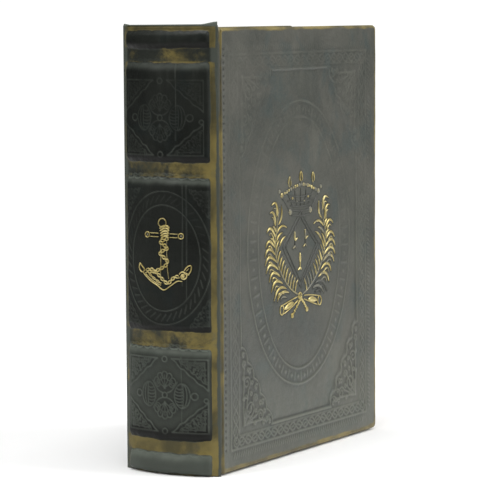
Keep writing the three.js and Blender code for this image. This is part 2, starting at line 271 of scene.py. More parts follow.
def gold_leaf_finish():
    """Gold foil worn off in flecks: a stroke's own wear value says how much of it has gone."""
    f = Finish("gold_leaf", roughness=0.42)
    flecks = f.noise(520, 4, 0.65)
    patches = f.noise(120, 3, 0.6)
    left = f.math("ADD", f.math("MULTIPLY", flecks, 0.6), f.math("MULTIPLY", patches, 0.4))
    gone = f.span(f.math("SUBTRACT", f.attribute("wear"), left), -0.22, 0.04)
    gold = f.mix(f.span(patches, 0.3, 0.7), GOLD_DULL, GOLD_BRIGHT)
    # a stroke that has just lost its gold shows rubbed leather, and one that never took it is dark
    bare = f.mix(f.span(f.attribute("wear"), 0.60, 0.68), (0.150, 0.150, 0.118), (0.050, 0.053, 0.044))
    colour = f.mix(gone, gold, bare)
    f.bump((f.noise(900, 3, 0.6), 0.3, 0.08))
    return f.done(colour, f.span(gone, 0, 1, 0.40, 0.5), f.span(gone, 0, 1, 0.75, 0.0))


def velvet_finish():
    f = Finish("velvet", roughness=0.92, Sheen_Weight=0.40, Sheen_Roughness=0.35, Specular_IOR_Level=0.2)
    f.shader.inputs["Sheen Tint"].default_value = (0.60, 0.16, 0.18, 1)
    nap = f.noise(48, 4, 0.6, 0.9)
    pile = f.noise(1500, 2, 0.7)
    colour = f.mix(f.span(nap, 0.3, 0.7), (0.052, 0.005, 0.008), (0.084, 0.008, 0.013))
    colour = f.mix(f.span(pile, 0.3, 0.7, 0, 0.30), colour, (0.13, 0.018, 0.024))
    f.bump((pile, 0.5, 0.25), (nap, 0.25, 0.5))
    return f.done(colour)


def page_finish():
    """Paper edges, browned with age. Leaf values on the mesh paint shade into the gaps between the leaves."""
    f = Finish("page_edges", roughness=0.8, Specular_IOR_Level=0.3)
    ageing = f.noise(18, 5, 0.6, 0.4)
    specks = f.noise(420, 3, 0.6)
    colour = f.mix(f.span(ageing, 0.3, 0.7), (0.46, 0.36, 0.20), (0.62, 0.53, 0.35))
    colour = f.mix(f.span(specks, 0.58, 0.75, 0, 0.5), colour, (0.30, 0.20, 0.09))
    # painted shade in the gaps between the leaves
    colour = f.mix(f.attribute("pressed"), colour, (0.16, 0.105, 0.05))
    f.bump((specks, 0.25, 0.1))
    return f.done(colour)


def timber_finish():
    f = Finish("timber", roughness=0.55)
    grain = f.noise(60, 6, 0.65, 1.5, f.stretched(1, 1, 0.08))
    pores = f.noise(600, 3, 0.6, 0, f.stretched(1, 1, 0.05))
    colour = f.mix(f.span(grain, 0.3, 0.7), (0.055, 0.026, 0.012), (0.14, 0.072, 0.032))
    colour = f.mix(f.span(pores, 0.5, 0.8, 0, 0.5), colour, (0.03, 0.014, 0.007))
    f.bump((grain, 0.15, 0.2), (pores, 0.2, 0.1))
    return f.done(colour, f.span(grain, 0.3, 0.7, 0.48, 0.62))


def board_finish():
    f = Finish("greyboard", roughness=0.95, Specular_IOR_Level=0.2)
    fibre = f.noise(240, 5, 0.7)
    colour = f.mix(fibre, (0.20, 0.18, 0.15), (0.32, 0.29, 0.24))
    f.bump((fibre, 0.3, 0.15))
    return f.done(colour)


def brass_finish(name, bright, dull, deep, low_rough, high_rough):
    """Metal with a patina in patches, fine scratches round it and dark specks."""
    f = Finish(name, roughness=0.3, metallic=1.0)
    patina = f.noise(60, 5, 0.6, 0.5)
    specks = f.noise(700, 3, 0.65)
    rings = f.noise(900, 2, 0.5, 0, f.stretched(0.03, 0.03, 1))
    colour = f.mix(f.span(patina, 0.36, 0.66), bright, dull)
    colour = f.mix(f.span(specks, 0.60, 0.78, 0, 0.8), colour, deep)
    rough = f.math("ADD", f.span(patina, 0.3, 0.7, low_rough, high_rough), f.span(specks, 0.5, 0.8, 0, 0.2))
    f.bump((rings, 0.10, 0.06), (specks, 0.12, 0.05))
    return f.done(colour, rough)


def nickel_finish():
    f = Finish("nickel", roughness=0.28, metallic=1.0)
    brushed = f.noise(700, 3, 0.5, 0, f.stretched(1, 1, 0.05))
    colour = f.mix(brushed, (0.50, 0.50, 0.49), (0.70, 0.70, 0.69))
    f.bump((brushed, 0.1, 0.05))
    return f.done(colour, f.span(brushed, 0.3, 0.7, 0.2, 0.36))


def enamel_finish():
    f = Finish("black_enamel", roughness=0.25)
    chips = f.noise(500, 3, 0.6)
    colour = f.mix(f.span(chips, 0.6, 0.8, 0, 0.6), (0.008, 0.007, 0.006), (0.05, 0.035, 0.02))
    return f.done(colour, f.span(chips, 0.3, 0.7, 0.18, 0.4))


def headband_finish():
    f = Finish("headband_silk", roughness=0.6, Sheen_Weight=0.3)
    threads = f.noise(900, 2, 0.6)
    red = f.mix(threads, (0.20, 0.02, 0.02), (0.30, 0.04, 0.03))
    cream = f.mix(threads, (0.42, 0.34, 0.20), (0.58, 0.50, 0.33))
    f.bump((threads, 0.4, 0.1))
    return f.done(f.mix(f.attribute("tone"), red, cream))


def floor_finish():
    f = Finish("floor", roughness=0.6, Specular_IOR_Level=0.2)
    colour = f.mix(f.noise(3, 2), (0.93, 0.93, 0.925), (0.95, 0.95, 0.945))
    return f.done(colour)


def backdrop_finish():
    """Plain white light for the camera to see behind the object."""
    f = Finish("backdrop", roughness=1.0)
    f.shader.inputs["Base Color"].default_value = (0, 0, 0, 1)
    f.shader.inputs["Emission Color"].default_value = (1, 1, 1, 1)
    f.shader.inputs["Emission Strength"].default_value = 1.05
    return f.material


cover_leather = leather_finish(
    "cover_leather",
    dark=(0.044, 0.049, 0.042),
    light=(0.076, 0.076, 0.063),
    rubbed_and_highlight=(0.160, 0.168, 0.132),
    tint=(0.040, 0.055, 0.052),
    specular=0.4,
    streaking=0.08,
)
spine_leather = leather_finish(
    "spine_leather",
    dark=(0.004, 0.005, 0.004),
    light=(0.012, 0.014, 0.011),
    # the spine's rubbed colour is bluish grey and is also its painted highlight
    rubbed_and_highlight=(0.122, 0.138, 0.115),
    tint=(0.007, 0.011, 0.010),
    specular=0.16,
    streaking=0.06,
)
gold_leaf = gold_leaf_finish()
velvet = velvet_finish()
page_edges = page_finish()
timber = timber_finish()
greyboard = board_finish()
brass = brass_finish(
    "brass",
    bright=(0.62, 0.44, 0.19),
    dull=(0.40, 0.26, 0.10),
    deep=(0.10, 0.06, 0.03),
    low_rough=0.22,
    high_rough=0.40,
)
dark_brass = brass_finish(
    "dark_brass",
    bright=(0.30, 0.20, 0.09),
    dull=(0.16, 0.10, 0.05),
    deep=(0.04, 0.025, 0.015),
    low_rough=0.3,
    high_rough=0.5,
)
nickel = nickel_finish()
enamel = enamel_finish()
headband_silk = headband_finish()

# ------------------------------------------------------------------ making meshes


def make_object(name, points, faces, material, values=None):
    """An object from points in millimetres and the values its material reads. Its faces turn outwards."""
    mesh = bpy.data.meshes.new(name)
    mesh.from_pydata((np.asarray(points, float) * MM).tolist(), [], [tuple(f) for f in faces])
    for key, numbers in (values or {}).items():
        layer = mesh.attributes.new(key, "FLOAT", "POINT")
        layer.data.foreach_set("value", np.asarray(numbers, np.float32).ravel())
    work = bmesh.new()
    work.from_mesh(mesh)
    bmesh.ops.recalc_face_normals(work, faces=work.faces)
    work.to_mesh(mesh)
    work.free()
    mesh.materials.append(material)
    mesh.polygons.foreach_set("use_smooth", [True] * len(mesh.polygons))
    mesh.update()
    obj = bpy.data.objects.new(name, mesh)
    bpy.context.scene.collection.objects.link(obj)
    return obj


def claim(obj, body, slot, *nodes):
    """Rides a piece on its body and hides the CAD nodes that it stands for. The slot is not used."""
    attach(obj, body)
    if nodes:
        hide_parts(*nodes)


def apply_modifier(obj, kind, **settings):
    """Adds a modifier and makes its result the object's own mesh."""
    modifier = obj.modifiers.new(kind.lower(), kind)
    for key, value in settings.items():
        setattr(modifier, key, value)
    evaluated = obj.evaluated_get(bpy.context.evaluated_depsgraph_get())
    mesh = bpy.data.meshes.new_from_object(evaluated)
    obj.modifiers.clear()
    obj.data = mesh
    return obj


def grid_faces(rows, cols, first=0, closed=False):
    """Quads between the points of a grid stored row by row. A closed grid's last column meets its first."""
    index = first + np.arange(rows * cols).reshape(rows, cols)
    if closed:
        index = np.column_stack([index, index[:, 0]])
    quads = np.stack([index[:-1, :-1], index[:-1, 1:], index[1:, 1:], index[1:, :-1]], axis=-1)
    return quads.reshape(-1, 4).tolist()


def rim_of(rows, cols):
    """The indexes round the outside of a grid, in order."""
    index = np.arange(rows * cols).reshape(rows, cols)
    return np.concatenate([index[0, :-1], index[:-1, -1], index[-1, :0:-1], index[:0:-1, 0]])


def tube_faces(rows, sides, first=0):
    """The skin of a tube stored ring by ring, with a flat cap at each end."""
    last = first + (rows - 1) * sides
    caps = [tuple(range(first, first + sides)), tuple(range(last, last + sides))]
    return grid_faces(rows, sides, first, closed=True) + caps


def flat_backed(face, axis, level):
    """The points and faces of a slab: a grid of face points, walls from its rim and a back at that level."""
    rows, cols = face.shape[:2]
    face = face.reshape(-1, 3)
    rim = rim_of(rows, cols)
    back = face[rim].copy()
    back[:, axis] = level
    count, ring = rows * cols, len(rim)
    faces = grid_faces(rows, cols)
    for i in range(ring):
        j = (i + 1) % ring
        faces.append((rim[i], rim[j], count + j, count + i))
        faces.append((count + i, count + j, count + ring))
    return np.vstack([face, back, back.mean(axis=0, keepdims=True)]), faces


# ------------------------------------------------------------------ curves in the plane


def arc(centre, radii, start, end, count=24):
    """Part of an ellipse, between two angles in degrees."""
    angles = np.radians(np.linspace(start, end, count))
    return np.column_stack([centre[0] + radii[0] * np.cos(angles), centre[1] + radii[1] * np.sin(angles)])


def spiral(centre, radius, start, turns, hand):
    """A scroll that winds inwards to a small eye."""
    t = np.linspace(0, 1, int(24 * turns) + 2)
    angles = math.radians(start) + hand * 2 * np.pi * turns * t
    radii = radius * (1 - 0.80 * t)
    return np.column_stack([centre[0] + radii * np.cos(angles), centre[1] + radii * np.sin(angles)])


def through(*points, steps=8):
    """A smooth curve through the points."""
    p = np.array([points[0], *points, points[-1]], float)
    out = []
    for a, b, c, d in zip(p[:-3], p[1:-2], p[2:-1], p[3:]):
        for t in np.linspace(0, 1, steps, endpoint=False):
            out.append(0.5 * (2 * b + (c - a) * t + (2 * a - 5 * b + 4 * c - d) * t**2
                              + (3 * b - a - 3 * c + d) * t**3))
    out.append(p[-1])
    return np.array(out)


def bend(start, middle, end, count=10):
    """A curve from start to end, pulled towards middle."""
    t = np.linspace(0, 1, count)[:, None]
    start, middle, end = (np.array(q, float) for q in (start, middle, end))
    return (1 - t) ** 2 * start + 2 * t * (1 - t) * middle + t**2 * end


def resample(points, step):
    points = np.asarray(points, float)
    along = np.concatenate([[0], np.cumsum(np.hypot(*np.diff(points, axis=0).T))])
    at = np.linspace(0, along[-1], max(3, int(along[-1] / step) + 1))
    return np.column_stack([np.interp(at, along, points[:, i]) for i in (0, 1)])


def ease(t):
    t = np.clip(t, 0, 1)
    return t * t * (3 - 2 * t)


def ripple(u, v, wave, seed):
    """Slow unevenness between about -1 and 1, the same on every run."""
    phases = np.random.default_rng(seed).uniform(0, 2 * np.pi, (5, 2))
    total = 0
    for i, (a, b) in enumerate(phases):
        turn = 1.3 * i + 0.4
        along = (u * math.cos(turn) + v * math.sin(turn)) * 2 * np.pi / (wave * (0.7 + 0.25 * i))
        total = total + np.sin(along + a) * np.cos(0.6 * along + b)
    return total / 2.5


# ------------------------------------------------------------------ relief in leather


def blurred(field, cells):
    """The field averaged over a square of 2 * cells + 1, twice."""
    size = 2 * cells + 1
    for _ in range(2):
        for axis in (0, 1):
            pads = [(0, 0), (0, 0)]
            pads[axis] = (cells + 1, cells)
            total = np.cumsum(np.pad(field, pads, mode="edge"), axis=axis)
            count = field.shape[axis]
            field = (np.take(total, np.arange(size, size + count), axis)
                     - np.take(total, np.arange(count), axis)) / size
    return field


class Relief:
    """Tooling over a width by height rectangle, as grids of heights in millimetres.

    ground is the leather's own shape, and raised and pressed are the marks on it. shade, from 0 to 1, is
    painted shade in a dark outline round the gilding. That leather lies a little lower too.
    """

    def __init__(self, width, height, pitch):
        self.width, self.height, self.pitch = width, height, pitch
        self.us = np.linspace(0, width, round(width / pitch) + 1)
        self.vs = np.linspace(0, height, round(height / pitch) + 1)
        self.u, self.v = np.meshgrid(self.us, self.vs)
        self.ground = np.zeros_like(self.u)
        self.raised = np.zeros_like(self.u)
        self.pressed = np.zeros_like(self.u)
        self.shade = np.zeros_like(self.u)

    def line(self, distance, width, rise):
        """A raised line where distance, measured from its middle, is small."""
        crest = rise * (0.5 + 0.5 * np.cos(np.pi * np.clip(np.abs(distance) / (width / 2), 0, 1)))
        np.maximum(self.raised, crest, out=self.raised)

    def oval(self, centre, radii, width, rise):
        du, dv = self.u - centre[0], self.v - centre[1]
        f = np.hypot(du / radii[0], dv / radii[1]) + 1e-9
        slope = np.hypot(du / radii[0] ** 2, dv / radii[1] ** 2) / f + 1e-9
        self.line((f - 1) / slope, width, rise)

    def stroke(self, points, width, rise, marks=None, taper=0.0):
        """A raised stroke along a curve; taper thins it towards its ends."""
        marks = self.raised if marks is None else marks
        points = resample(points, self.pitch * 0.6)
        shares = 1 - taper * np.abs(np.linspace(-1, 1, len(points))) ** 2
        for (u, v), share in zip(points, shares):
            reach = max(width * share / 2, self.pitch)
            i0, i1 = np.searchsorted(self.us, (u - reach, u + reach))
            j0, j1 = np.searchsorted(self.vs, (v - reach, v + reach))
            if i0 == i1 or j0 == j1:
                continue
            squares = (self.us[None, i0:i1] - u) ** 2 + (self.vs[j0:j1, None] - v) ** 2
            crest = rise * np.clip(1 - squares / reach**2, 0, 1)
            window = marks[j0:j1, i0:i1]
            np.maximum(window, crest, out=window)

    def strokes(self, curves, width, rise):
        for curve in curves:
            self.stroke(curve, width, rise)

    def surface(self):
        return self.ground + self.raised - self.pressed

    def rubbed_and_sunk(self, depth):
        """How far each point stands above or below its surroundings, in shares of depth, each from 0 to 1."""
        marks = self.raised - self.pressed
        proud = (marks - blurred(marks, round(1.6 / self.pitch))) / depth
        return np.clip(proud, 0, 1), np.clip(-proud * 1.5, 0, 1)

    def ground_at(self, u, v):
        i = np.clip(np.round(np.asarray(u) / self.width * (len(self.us) - 1)), 0, len(self.us) - 1)
        j = np.clip(np.round(np.asarray(v) / self.height * (len(self.vs) - 1)), 0, len(self.vs) - 1)
        return self.ground[j.astype(int), i.astype(int)]


def corner_spray(leg_u, leg_v):
    """Scrolls, berries, leaves and a scalloped edge for a frame's corner, as curves from that corner."""
    leg = np.array([leg_u, leg_v])
    start, end = np.array([leg_u, 0.0]), np.array([0.0, leg_v])
    outward = np.array([leg_v, leg_u]) / np.hypot(leg_u, leg_v)
    scallops = 5
    step = (end - start) / scallops
    curves = []
    for i in range(scallops):
        a = start + step * i
        b = a + step
        swell = outward * 0.20 * np.hypot(*step)
        curves.append(through(a, (a + b) / 2 + swell, b))
        curves.append(spiral((a + b) / 2 - swell * 0.5, 0.16 * np.hypot(*step), 40, 1.0, 1))
    size = min(leg_u, leg_v)
    # each scroll's place as a share of the legs, its radius, where it starts, its turns and its hand
    scrolls = (
        (0.27, 0.25, 0.150, -150, 1.6, 1), (0.60, 0.14, 0.105, 160, 1.5, -1),
        (0.17, 0.56, 0.120, -60, 1.5, 1), (0.80, 0.08, 0.055, 180, 1.2, 1),
        (0.09, 0.79, 0.065, -90, 1.2, -1), (0.45, 0.36, 0.075, -150, 1.4, -1),
    )
    root = leg * 0.07
    for fu, fv, fr, angle, turns, hand in scrolls:
        scroll = spiral((fu * leg_u, fv * leg_v), fr * size, angle, turns, hand)
        middle = (root + scroll[0]) / 2 + outward * 0.03 * size * hand
        curves.append(scroll)
        curves.append(bend(root, middle, scroll[0]))
    berries = (
        (0.42, 0.07), (0.45, 0.21), (0.60, 0.29), (0.31, 0.42), (0.07, 0.38), (0.22, 0.71), (0.07, 0.62),
        (0.34, 0.55), (0.73, 0.18), (0.70, 0.05), (0.05, 0.90), (0.90, 0.04), (0.15, 0.40),
    )
    berry = 0.030 * size
    for fu, fv in berries:
        curves.append(arc((fu * leg_u, fv * leg_v), (berry, berry), 0, 320, 8))
    for angle in (8, 26, 46, 64, 82):
        way = np.array([math.cos(math.radians(angle)), math.sin(math.radians(angle))])
        curves.append(bend(root + way * 0.10 * size, root + way * 0.16 * size + outward * 0.5,
                           root + way * 0.27 * size))
    return curves


def in_corners(curves, left, top, right, bottom):
    """The same curves in the four corners of a rectangle, mirrored to face its middle."""
    placed = []
    for corner_u, sign_u in ((left, 1), (right, -1)):
        for corner_v, sign_v in ((top, 1), (bottom, -1)):
            for c in curves:
                placed.append(np.column_stack([corner_u + sign_u * c[:, 0], corner_v + sign_v * c[:, 1]]))
    return placed


def rectangle(left, top, right, bottom):
    corners = ((left, top), (right, top), (right, bottom), (left, bottom), (left, top))
    return [np.array(side, float) for side in zip(corners, corners[1:])]


def braid(start, end, swing, wave, leaf=0.0):
    """Two strands that cross and part along a straight line, with a leaf that long in each loop."""
    start, end = np.array(start, float), np.array(end, float)
    length = np.hypot(*(end - start))
    along = (end - start) / length
    across = np.array([-along[1], along[0]])
    waves = round(length / wave)
    t = np.linspace(0, 1, waves * 12 + 1)
    middle = start + np.outer(t * length, along)
    sway = swing * np.sin(np.pi * waves * t)
    curves = [middle + np.outer(sign * sway, across) for sign in (1, -1)]
    if leaf:
        for k in range(waves):
            centre = start + along * length * (k + 0.5) / waves
            lean = along * leaf / 2 + across * 0.35 * (1 if k % 2 else -1)
            curves.append(np.array([centre - lean, centre + lean]))
    return curves


# ------------------------------------------------------------------ the covers
FIELD = dict(left=20.6, top=25.0, right=164.4, bottom=237.5)  # the frame round the sunk field
BORDER_U = 11.6  # width of the braided border beside the field
BORDER_V = 9.4  # and above and below it
SPRAY_U, SPRAY_V = 36.0, 51.0
OVAL_CENTRE = (92.5, 131.3)
OVAL_OUTER = (62.8, 86.5)
OVAL_INNER = (50.4, 77.0)
STITCH_INSET = 3.0
STITCH_PITCH = 3.9
STITCH_DEPTH = 0.48
FIELD_DEPTH = 0.55
COVER_PITCH = 0.72  # between the points of a cover's mesh
COVER_CORNER = 3.0
EDGE_ROUND = 1.3
LINE_RISE = 0.62
TICK_PITCH = 2.6  # between the short strokes round the border
OVAL_MARKS = 92  # strokes and dots in the band between the ovals
LEATHER_DEPTH = 0.78  # tooling stays above the board, which lies just deeper than this
BACK_HINGE_GROOVE = 3.0


def tool_cover(relief):
    """Presses the frames, braid, corner sprays, oval band and stitch holes of a cover into the relief."""
    left, top, right, bottom = (FIELD[k] for k in ("left", "top", "right", "bottom"))
    u, v = relief.u, relief.v
    inside = np.minimum(np.minimum(u - left, right - u), np.minimum(v - top, bottom - v))
    slant = np.hypot(SPRAY_U, SPRAY_V)
    for corner_u, sign_u in ((left, 1), (right, -1)):
        for corner_v, sign_v in ((top, 1), (bottom, -1)):
            a, b = (u - corner_u) * sign_u, (v - corner_v) * sign_v
            past = (a * SPRAY_V + b * SPRAY_U - SPRAY_U * SPRAY_V) / slant
            inside = np.minimum(inside, past - 2)
    relief.ground -= FIELD_DEPTH * ease(inside / 1.2)
    relief.ground += 0.20 * ripple(u, v, 75, 3) + 0.07 * ripple(u, v, 17, 5)

    for a, b in rectangle(left, top, right, bottom):
        clear = np.where(a == b, 0, np.sign(b - a) * (SPRAY_U - 1, SPRAY_V - 1))
        relief.stroke((a + clear, b - clear), 1.7, LINE_RISE)
        inward = np.where(a == b, np.sign(np.array(OVAL_CENTRE) - (a + b) / 2) * 1.5, 0)
        relief.stroke((a + clear + inward, b - clear + inward), 1.5, 0.15, marks=relief.pressed)
    outer = (left - BORDER_U, top - BORDER_V, right + BORDER_U, bottom + BORDER_V)
    relief.strokes(rectangle(*outer), 1.6, LINE_RISE * 0.85)
    near = (left - 2.4, top - 2.0, right + 2.4, bottom + 2.0)
    relief.strokes(rectangle(*near), 1.4, LINE_RISE * 0.6)
    middle_u, middle_v = BORDER_U / 2, BORDER_V / 2
    for v0 in (top - middle_v - 0.6, bottom + middle_v + 0.6):
        relief.strokes(braid((left - 4, v0), (right + 4, v0), 2.4, 7.6, leaf=2.6), 1.7, LINE_RISE * 0.85)
    for u0 in (left - middle_u - 0.8, right + middle_u + 0.8):
        relief.strokes(braid((u0, top - 3), (u0, bottom + 3), 2.8, 8.4, leaf=3.0), 1.6, LINE_RISE * 0.7)
    for corner_u in (left - middle_u - 0.4, right + middle_u + 0.4):
        for corner_v in (top - middle_v, bottom + middle_v):
            relief.stroke(spiral((corner_u, corner_v), 3.8, 0, 1.7, 1), 1.5, LINE_RISE)
    for v0 in (outer[1] - 3.6, outer[3] + 3.6):
        for u0 in np.arange(outer[0] + 3, outer[2] - 3, TICK_PITCH):
            relief.stroke(((u0, v0 + 1.3), (u0 + 1.2, v0 - 1.3)), 1.45, LINE_RISE * 0.6)
    for v0 in np.arange(outer[1] + 3, outer[3] - 3, TICK_PITCH):
        relief.stroke(((outer[2] + 2.4, v0), (outer[2] + 5.0, v0 + 1.2)), 1.45, LINE_RISE * 0.6)

    relief.strokes(in_corners(corner_spray(SPRAY_U, SPRAY_V), left, top, right, bottom), 1.6, LINE_RISE)

    relief.oval(OVAL_CENTRE, OVAL_OUTER, 2.0, LINE_RISE)
    relief.oval(OVAL_CENTRE, OVAL_INNER, 1.8, LINE_RISE * 0.9)
    for i in range(OVAL_MARKS):
        angle = 2 * np.pi * i / OVAL_MARKS
        way = np.array([math.cos(angle), math.sin(angle)])
        inner = OVAL_CENTRE + way * (np.array(OVAL_INNER) + 2.6)
        outer_end = OVAL_CENTRE + way * (np.array(OVAL_OUTER) - 2.6)
        if i % 2:
            relief.stroke((inner, outer_end), 1.7, LINE_RISE * 0.6, taper=0.5)
        else:
            middle = (inner + outer_end) / 2
            relief.stroke((middle, middle + 0.1), 3.0, LINE_RISE * 0.7)

    # handling has flattened the tooling, most of all towards the head and the hinge
    handled = 0.26 + 0.70 * ease((v - 80) / 130) + 0.22 * ripple(u, v, 48, 31)
    handled *= 1 - 0.45 * ease((left - u) / 6) * ease((bottom - 6 - v) / 20)
    relief.raised *= np.clip(handled, 0.14, 1)
    relief.pressed *= np.clip(handled, 0.14, 1)

    for v0 in np.arange(12, relief.height - 10, STITCH_PITCH):
        hole = ((STITCH_INSET, v0), (STITCH_INSET, v0 + 0.5))
        relief.stroke(hole, 1.9, STITCH_DEPTH, marks=relief.pressed)


def round_corners(u, v, width, height, radius):
    """Draws the corners of a grid away from the hinge in to an arc, without folding it."""
    u, v = u.copy(), v.copy()
    for sign in (1, -1):
        edge_v = 0 if sign == 1 else height
        a = (u - (width - radius)) / radius
        b = ((edge_v + sign * radius) - v) * sign / radius
        near = (a > 0) & (b > 0)
        reach = np.hypot(a, b)
        share = np.where(near, np.maximum(a, b) / np.maximum(reach, 1e-9), 1)
        u = np.where(near, width - radius + a * share * radius, u)
        v = np.where(near, edge_v + sign * (radius - b * share * radius), v)
    return u, v


def cover_slab(name, relief, lay, depth, body, node, hinge_groove=0.0):
    """A tooled cover: the dense face, its four walls and a flat inner face."""
    from_fore, from_foot = relief.width - relief.u, relief.height - relief.v
    edge = np.minimum(from_fore, np.minimum(relief.v, from_foot))
    turned = np.clip(np.minimum(edge, relief.u), 0, EDGE_ROUND)
    drop = EDGE_ROUND - np.sqrt(EDGE_ROUND**2 - (EDGE_ROUND - turned) ** 2)
    deepest = -LEATHER_DEPTH
    if hinge_groove:
        in_groove = 1 - ease(np.abs(relief.u - hinge_groove / 2) / (hinge_groove / 2))
        drop = np.maximum(drop, LEATHER_DEPTH * in_groove)
        deepest = drop - LEATHER_DEPTH
    u, v = round_corners(relief.u, relief.v, relief.width, relief.height, COVER_CORNER)
    out = np.maximum(relief.surface() - 0.15 * relief.shade, deepest)
    back_y = lay(0, 0, -depth)[1]
    points, faces = flat_backed(lay(u, v, out - drop), 1, back_y)

    # the ochre shows where the edges, the foot and the lower fore corner are rubbed
    rub = np.clip(1.5 - edge / 2.0, 0, 1) + np.clip(1.5 - relief.u / 1.4, 0, 1)
    foot_rub = np.clip(2.0 - from_foot / 2.0, 0, 1.35)
    fore_rub = np.clip(1.6 - from_fore / 1.9, 0, 1)
    corner_rub = 0.9 * np.clip(1 - np.hypot(from_fore, from_foot) / 12, 0, 1)
    gilt = np.maximum(np.clip(rub + foot_rub + fore_rub + corner_rub, 0, 1), foot_rub)
    # proud points get the rubbed colour, wear and a painted highlight; sunk ones go near black, antiquing and
    # painted shade
    proud, sunk = relief.rubbed_and_sunk(0.42)
    stain = 0.15 * np.exp(-(((relief.u - 92) / 34) ** 2) - ((relief.v - 186) / 24) ** 2)
    # lighter towards the foot and the fore edge, unevenly
    tone = 0.20 * ease((relief.v - 185) / 60) + 0.05 * ease((relief.u - 110) / 60)
    tone = tone + 0.08 * ripple(relief.u, relief.v, 60, 21)
    # pressed adds painted shade round the gilding, and a stain, to the sunk marks
    on_face = {
        "raised": (proud * 0.75, 0),
        "pressed": (np.clip(sunk * 0.62 + relief.shade + stain, 0, 0.9), 0),
        "gilt": (gilt, 0.8),
        "tone": (np.clip(tone, 0, 1), 0),
    }
    behind = len(points) - relief.u.size
    values = {key: np.append(field.ravel(), np.full(behind, back)) for key, (field, back) in on_face.items()}
    claim(make_object(name, points, faces, cover_leather, values), body, "cover_leather", node)


front_low, front_high = box_mm("front_cover_leather")
back_low, back_high = box_mm("back_cover_leather")
back_top = front_high[2] - 0.3


def lay_front(u, v, out):
    return np.stack([front_low[0] + u, front_low[1] - out, front_high[2] - v], axis=-1)


def lay_back(u, v, out):
    return np.stack([back_low[0] + u, back_high[1] + out, back_top - v], axis=-1)


def add_front_cover():
    relief = Relief(front_high[0] - front_low[0], front_high[2] - front_low[2], COVER_PITCH)
    tool_cover(relief)
    add_crown(relief)
    add_lozenge(relief)
    add_branch(relief, -1, "crest_branch_left", 0.0)
    add_branch(relief, 1, "crest_branch_right", 1.0)
    add_ribbon(relief)
    depth = front_high[1] - front_low[1]
    cover_slab("front_cover_tooled", relief, lay_front, depth, "front_cover", "front_cover_leather")


def add_back_cover():
    relief = Relief(back_high[0] - back_low[0], back_top - back_low[2], COVER_PITCH)
    tool_cover(relief)
    depth = back_high[1] - back_low[1]
    cover_slab("back_cover_tooled", relief, lay_back, depth, "case", "back_cover_leather", BACK_HINGE_GROOVE)


# ------------------------------------------------------------------ the spine
spine_low, spine_high = box_mm("spine_leather")
SPINE_RISE = spine_high[0] - spine_low[0]
SPINE_HALF = (spine_high[1] - spine_low[1]) / 2
SPINE_RADIUS = (SPINE_HALF**2 + SPINE_RISE**2) / (2 * SPINE_RISE)
SPINE_CENTRE_X = spine_low[0] + SPINE_RADIUS
SPINE_SWEEP = math.asin(SPINE_HALF / SPINE_RADIUS)
SPINE_ROUND = 2 * SPINE_SWEEP * SPINE_RADIUS  # length round the arc
SPINE_HEIGHT = spine_high[2] - spine_low[2]
SPINE_PITCH = 0.52
STRIP = 4.6  # flat strip along each side of the panels
BARE_EDGE = 1.1  # the outer part of that strip, which isn't gilt
PANEL_RISE = 2.3
# where each panel starts and ends, down from the head
PANELS = {
    "head": (2.6, 13.6),
    "upper": (20.6, 79.2),
    "centre": (87.0, 177.6),
    "lower": (186.4, 241.8),
    "tail": (248.8, 261.4),
}
PANEL_TONES = {"head": 0.0, "upper": 0.0, "centre": 0.0, "lower": 0.26, "tail": 0.44}
SIDE_LIT_PANELS = ("lower", "tail")  # their side by the back cover has a painted highlight
# how strong the painted highlight along each panel's upper shoulder is
SHOULDER_HIGHLIGHT = {"head": 0.06, "upper": 0.46, "centre": 1.05, "lower": 0.92, "tail": 0.70}
UNDER_SHADE_REACH = {"head": 2.2, "upper": 2.6, "centre": 2.6, "lower": 4.6}  # how far the painted shade under each panel's lower shoulder reaches
# each band from the head to the tail: how gilt it is, and how far the braid at its lower edge rises
BAND_GILDING = (0.50, 0.80, 0.72, 1.42)
BAND_BRAID = (0.10, 0.42, 0.42, 0.14)
CREASES = (
    ((9.0, 22), (9.3, 40), (9.1, 66)),
    ((12.8, 92), (12.9, 112), (12.5, 150)),
    ((15.2, 92), (15.3, 120), (15.0, 158)),
    ((11.2, 192), (11.6, 215), (11.4, 232)),
)


def lay_spine(u, v, out):
    angle = (SPINE_ROUND / 2 - u) / SPINE_RADIUS
    reach = SPINE_RADIUS + out
    x = SPINE_CENTRE_X - reach * np.cos(angle)
    return np.stack([x, reach * np.sin(angle), spine_high[2] - v], axis=-1)


def melon(centre, half_u, half_v, side):
    """A ribbed lobe: an oval outline, ribs that bow out on its outer side and rungs on its inner side."""
    curves = [arc(centre, (half_u, half_v), 0, 360, 40)]
    for share in (0.15, 0.6):
        curves.append(arc(centre, (side * half_u * share, half_v * 0.96), -80, 80, 16))
    for share in (-0.62, -0.36, -0.1, 0.16, 0.42, 0.68):
        width = half_u * 0.9 * math.sqrt(1 - share**2)
        a = centre + (-side * width, share * half_v)
        b = centre + (0, share * half_v + 0.3)
        curves.append(bend(a, (a + b) / 2 + (0, 1.0), b, 6))
    return curves


def fan(centre, half_u, half_v, sign):
    """A shell of petals that opens away from the medallion's middle."""
    curves = []
    for angle in (-60, -30, 0, 30, 60):
        way = np.array([math.sin(math.radians(angle)), sign * math.cos(math.radians(angle))])
        tip = centre + way * (half_u, half_v)
        curves.append(np.array([centre - way * 0.5, tip]))
        curves.append(arc(tip, (half_u * 0.30, half_v * 0.30), 0, 360, 14))
    return curves


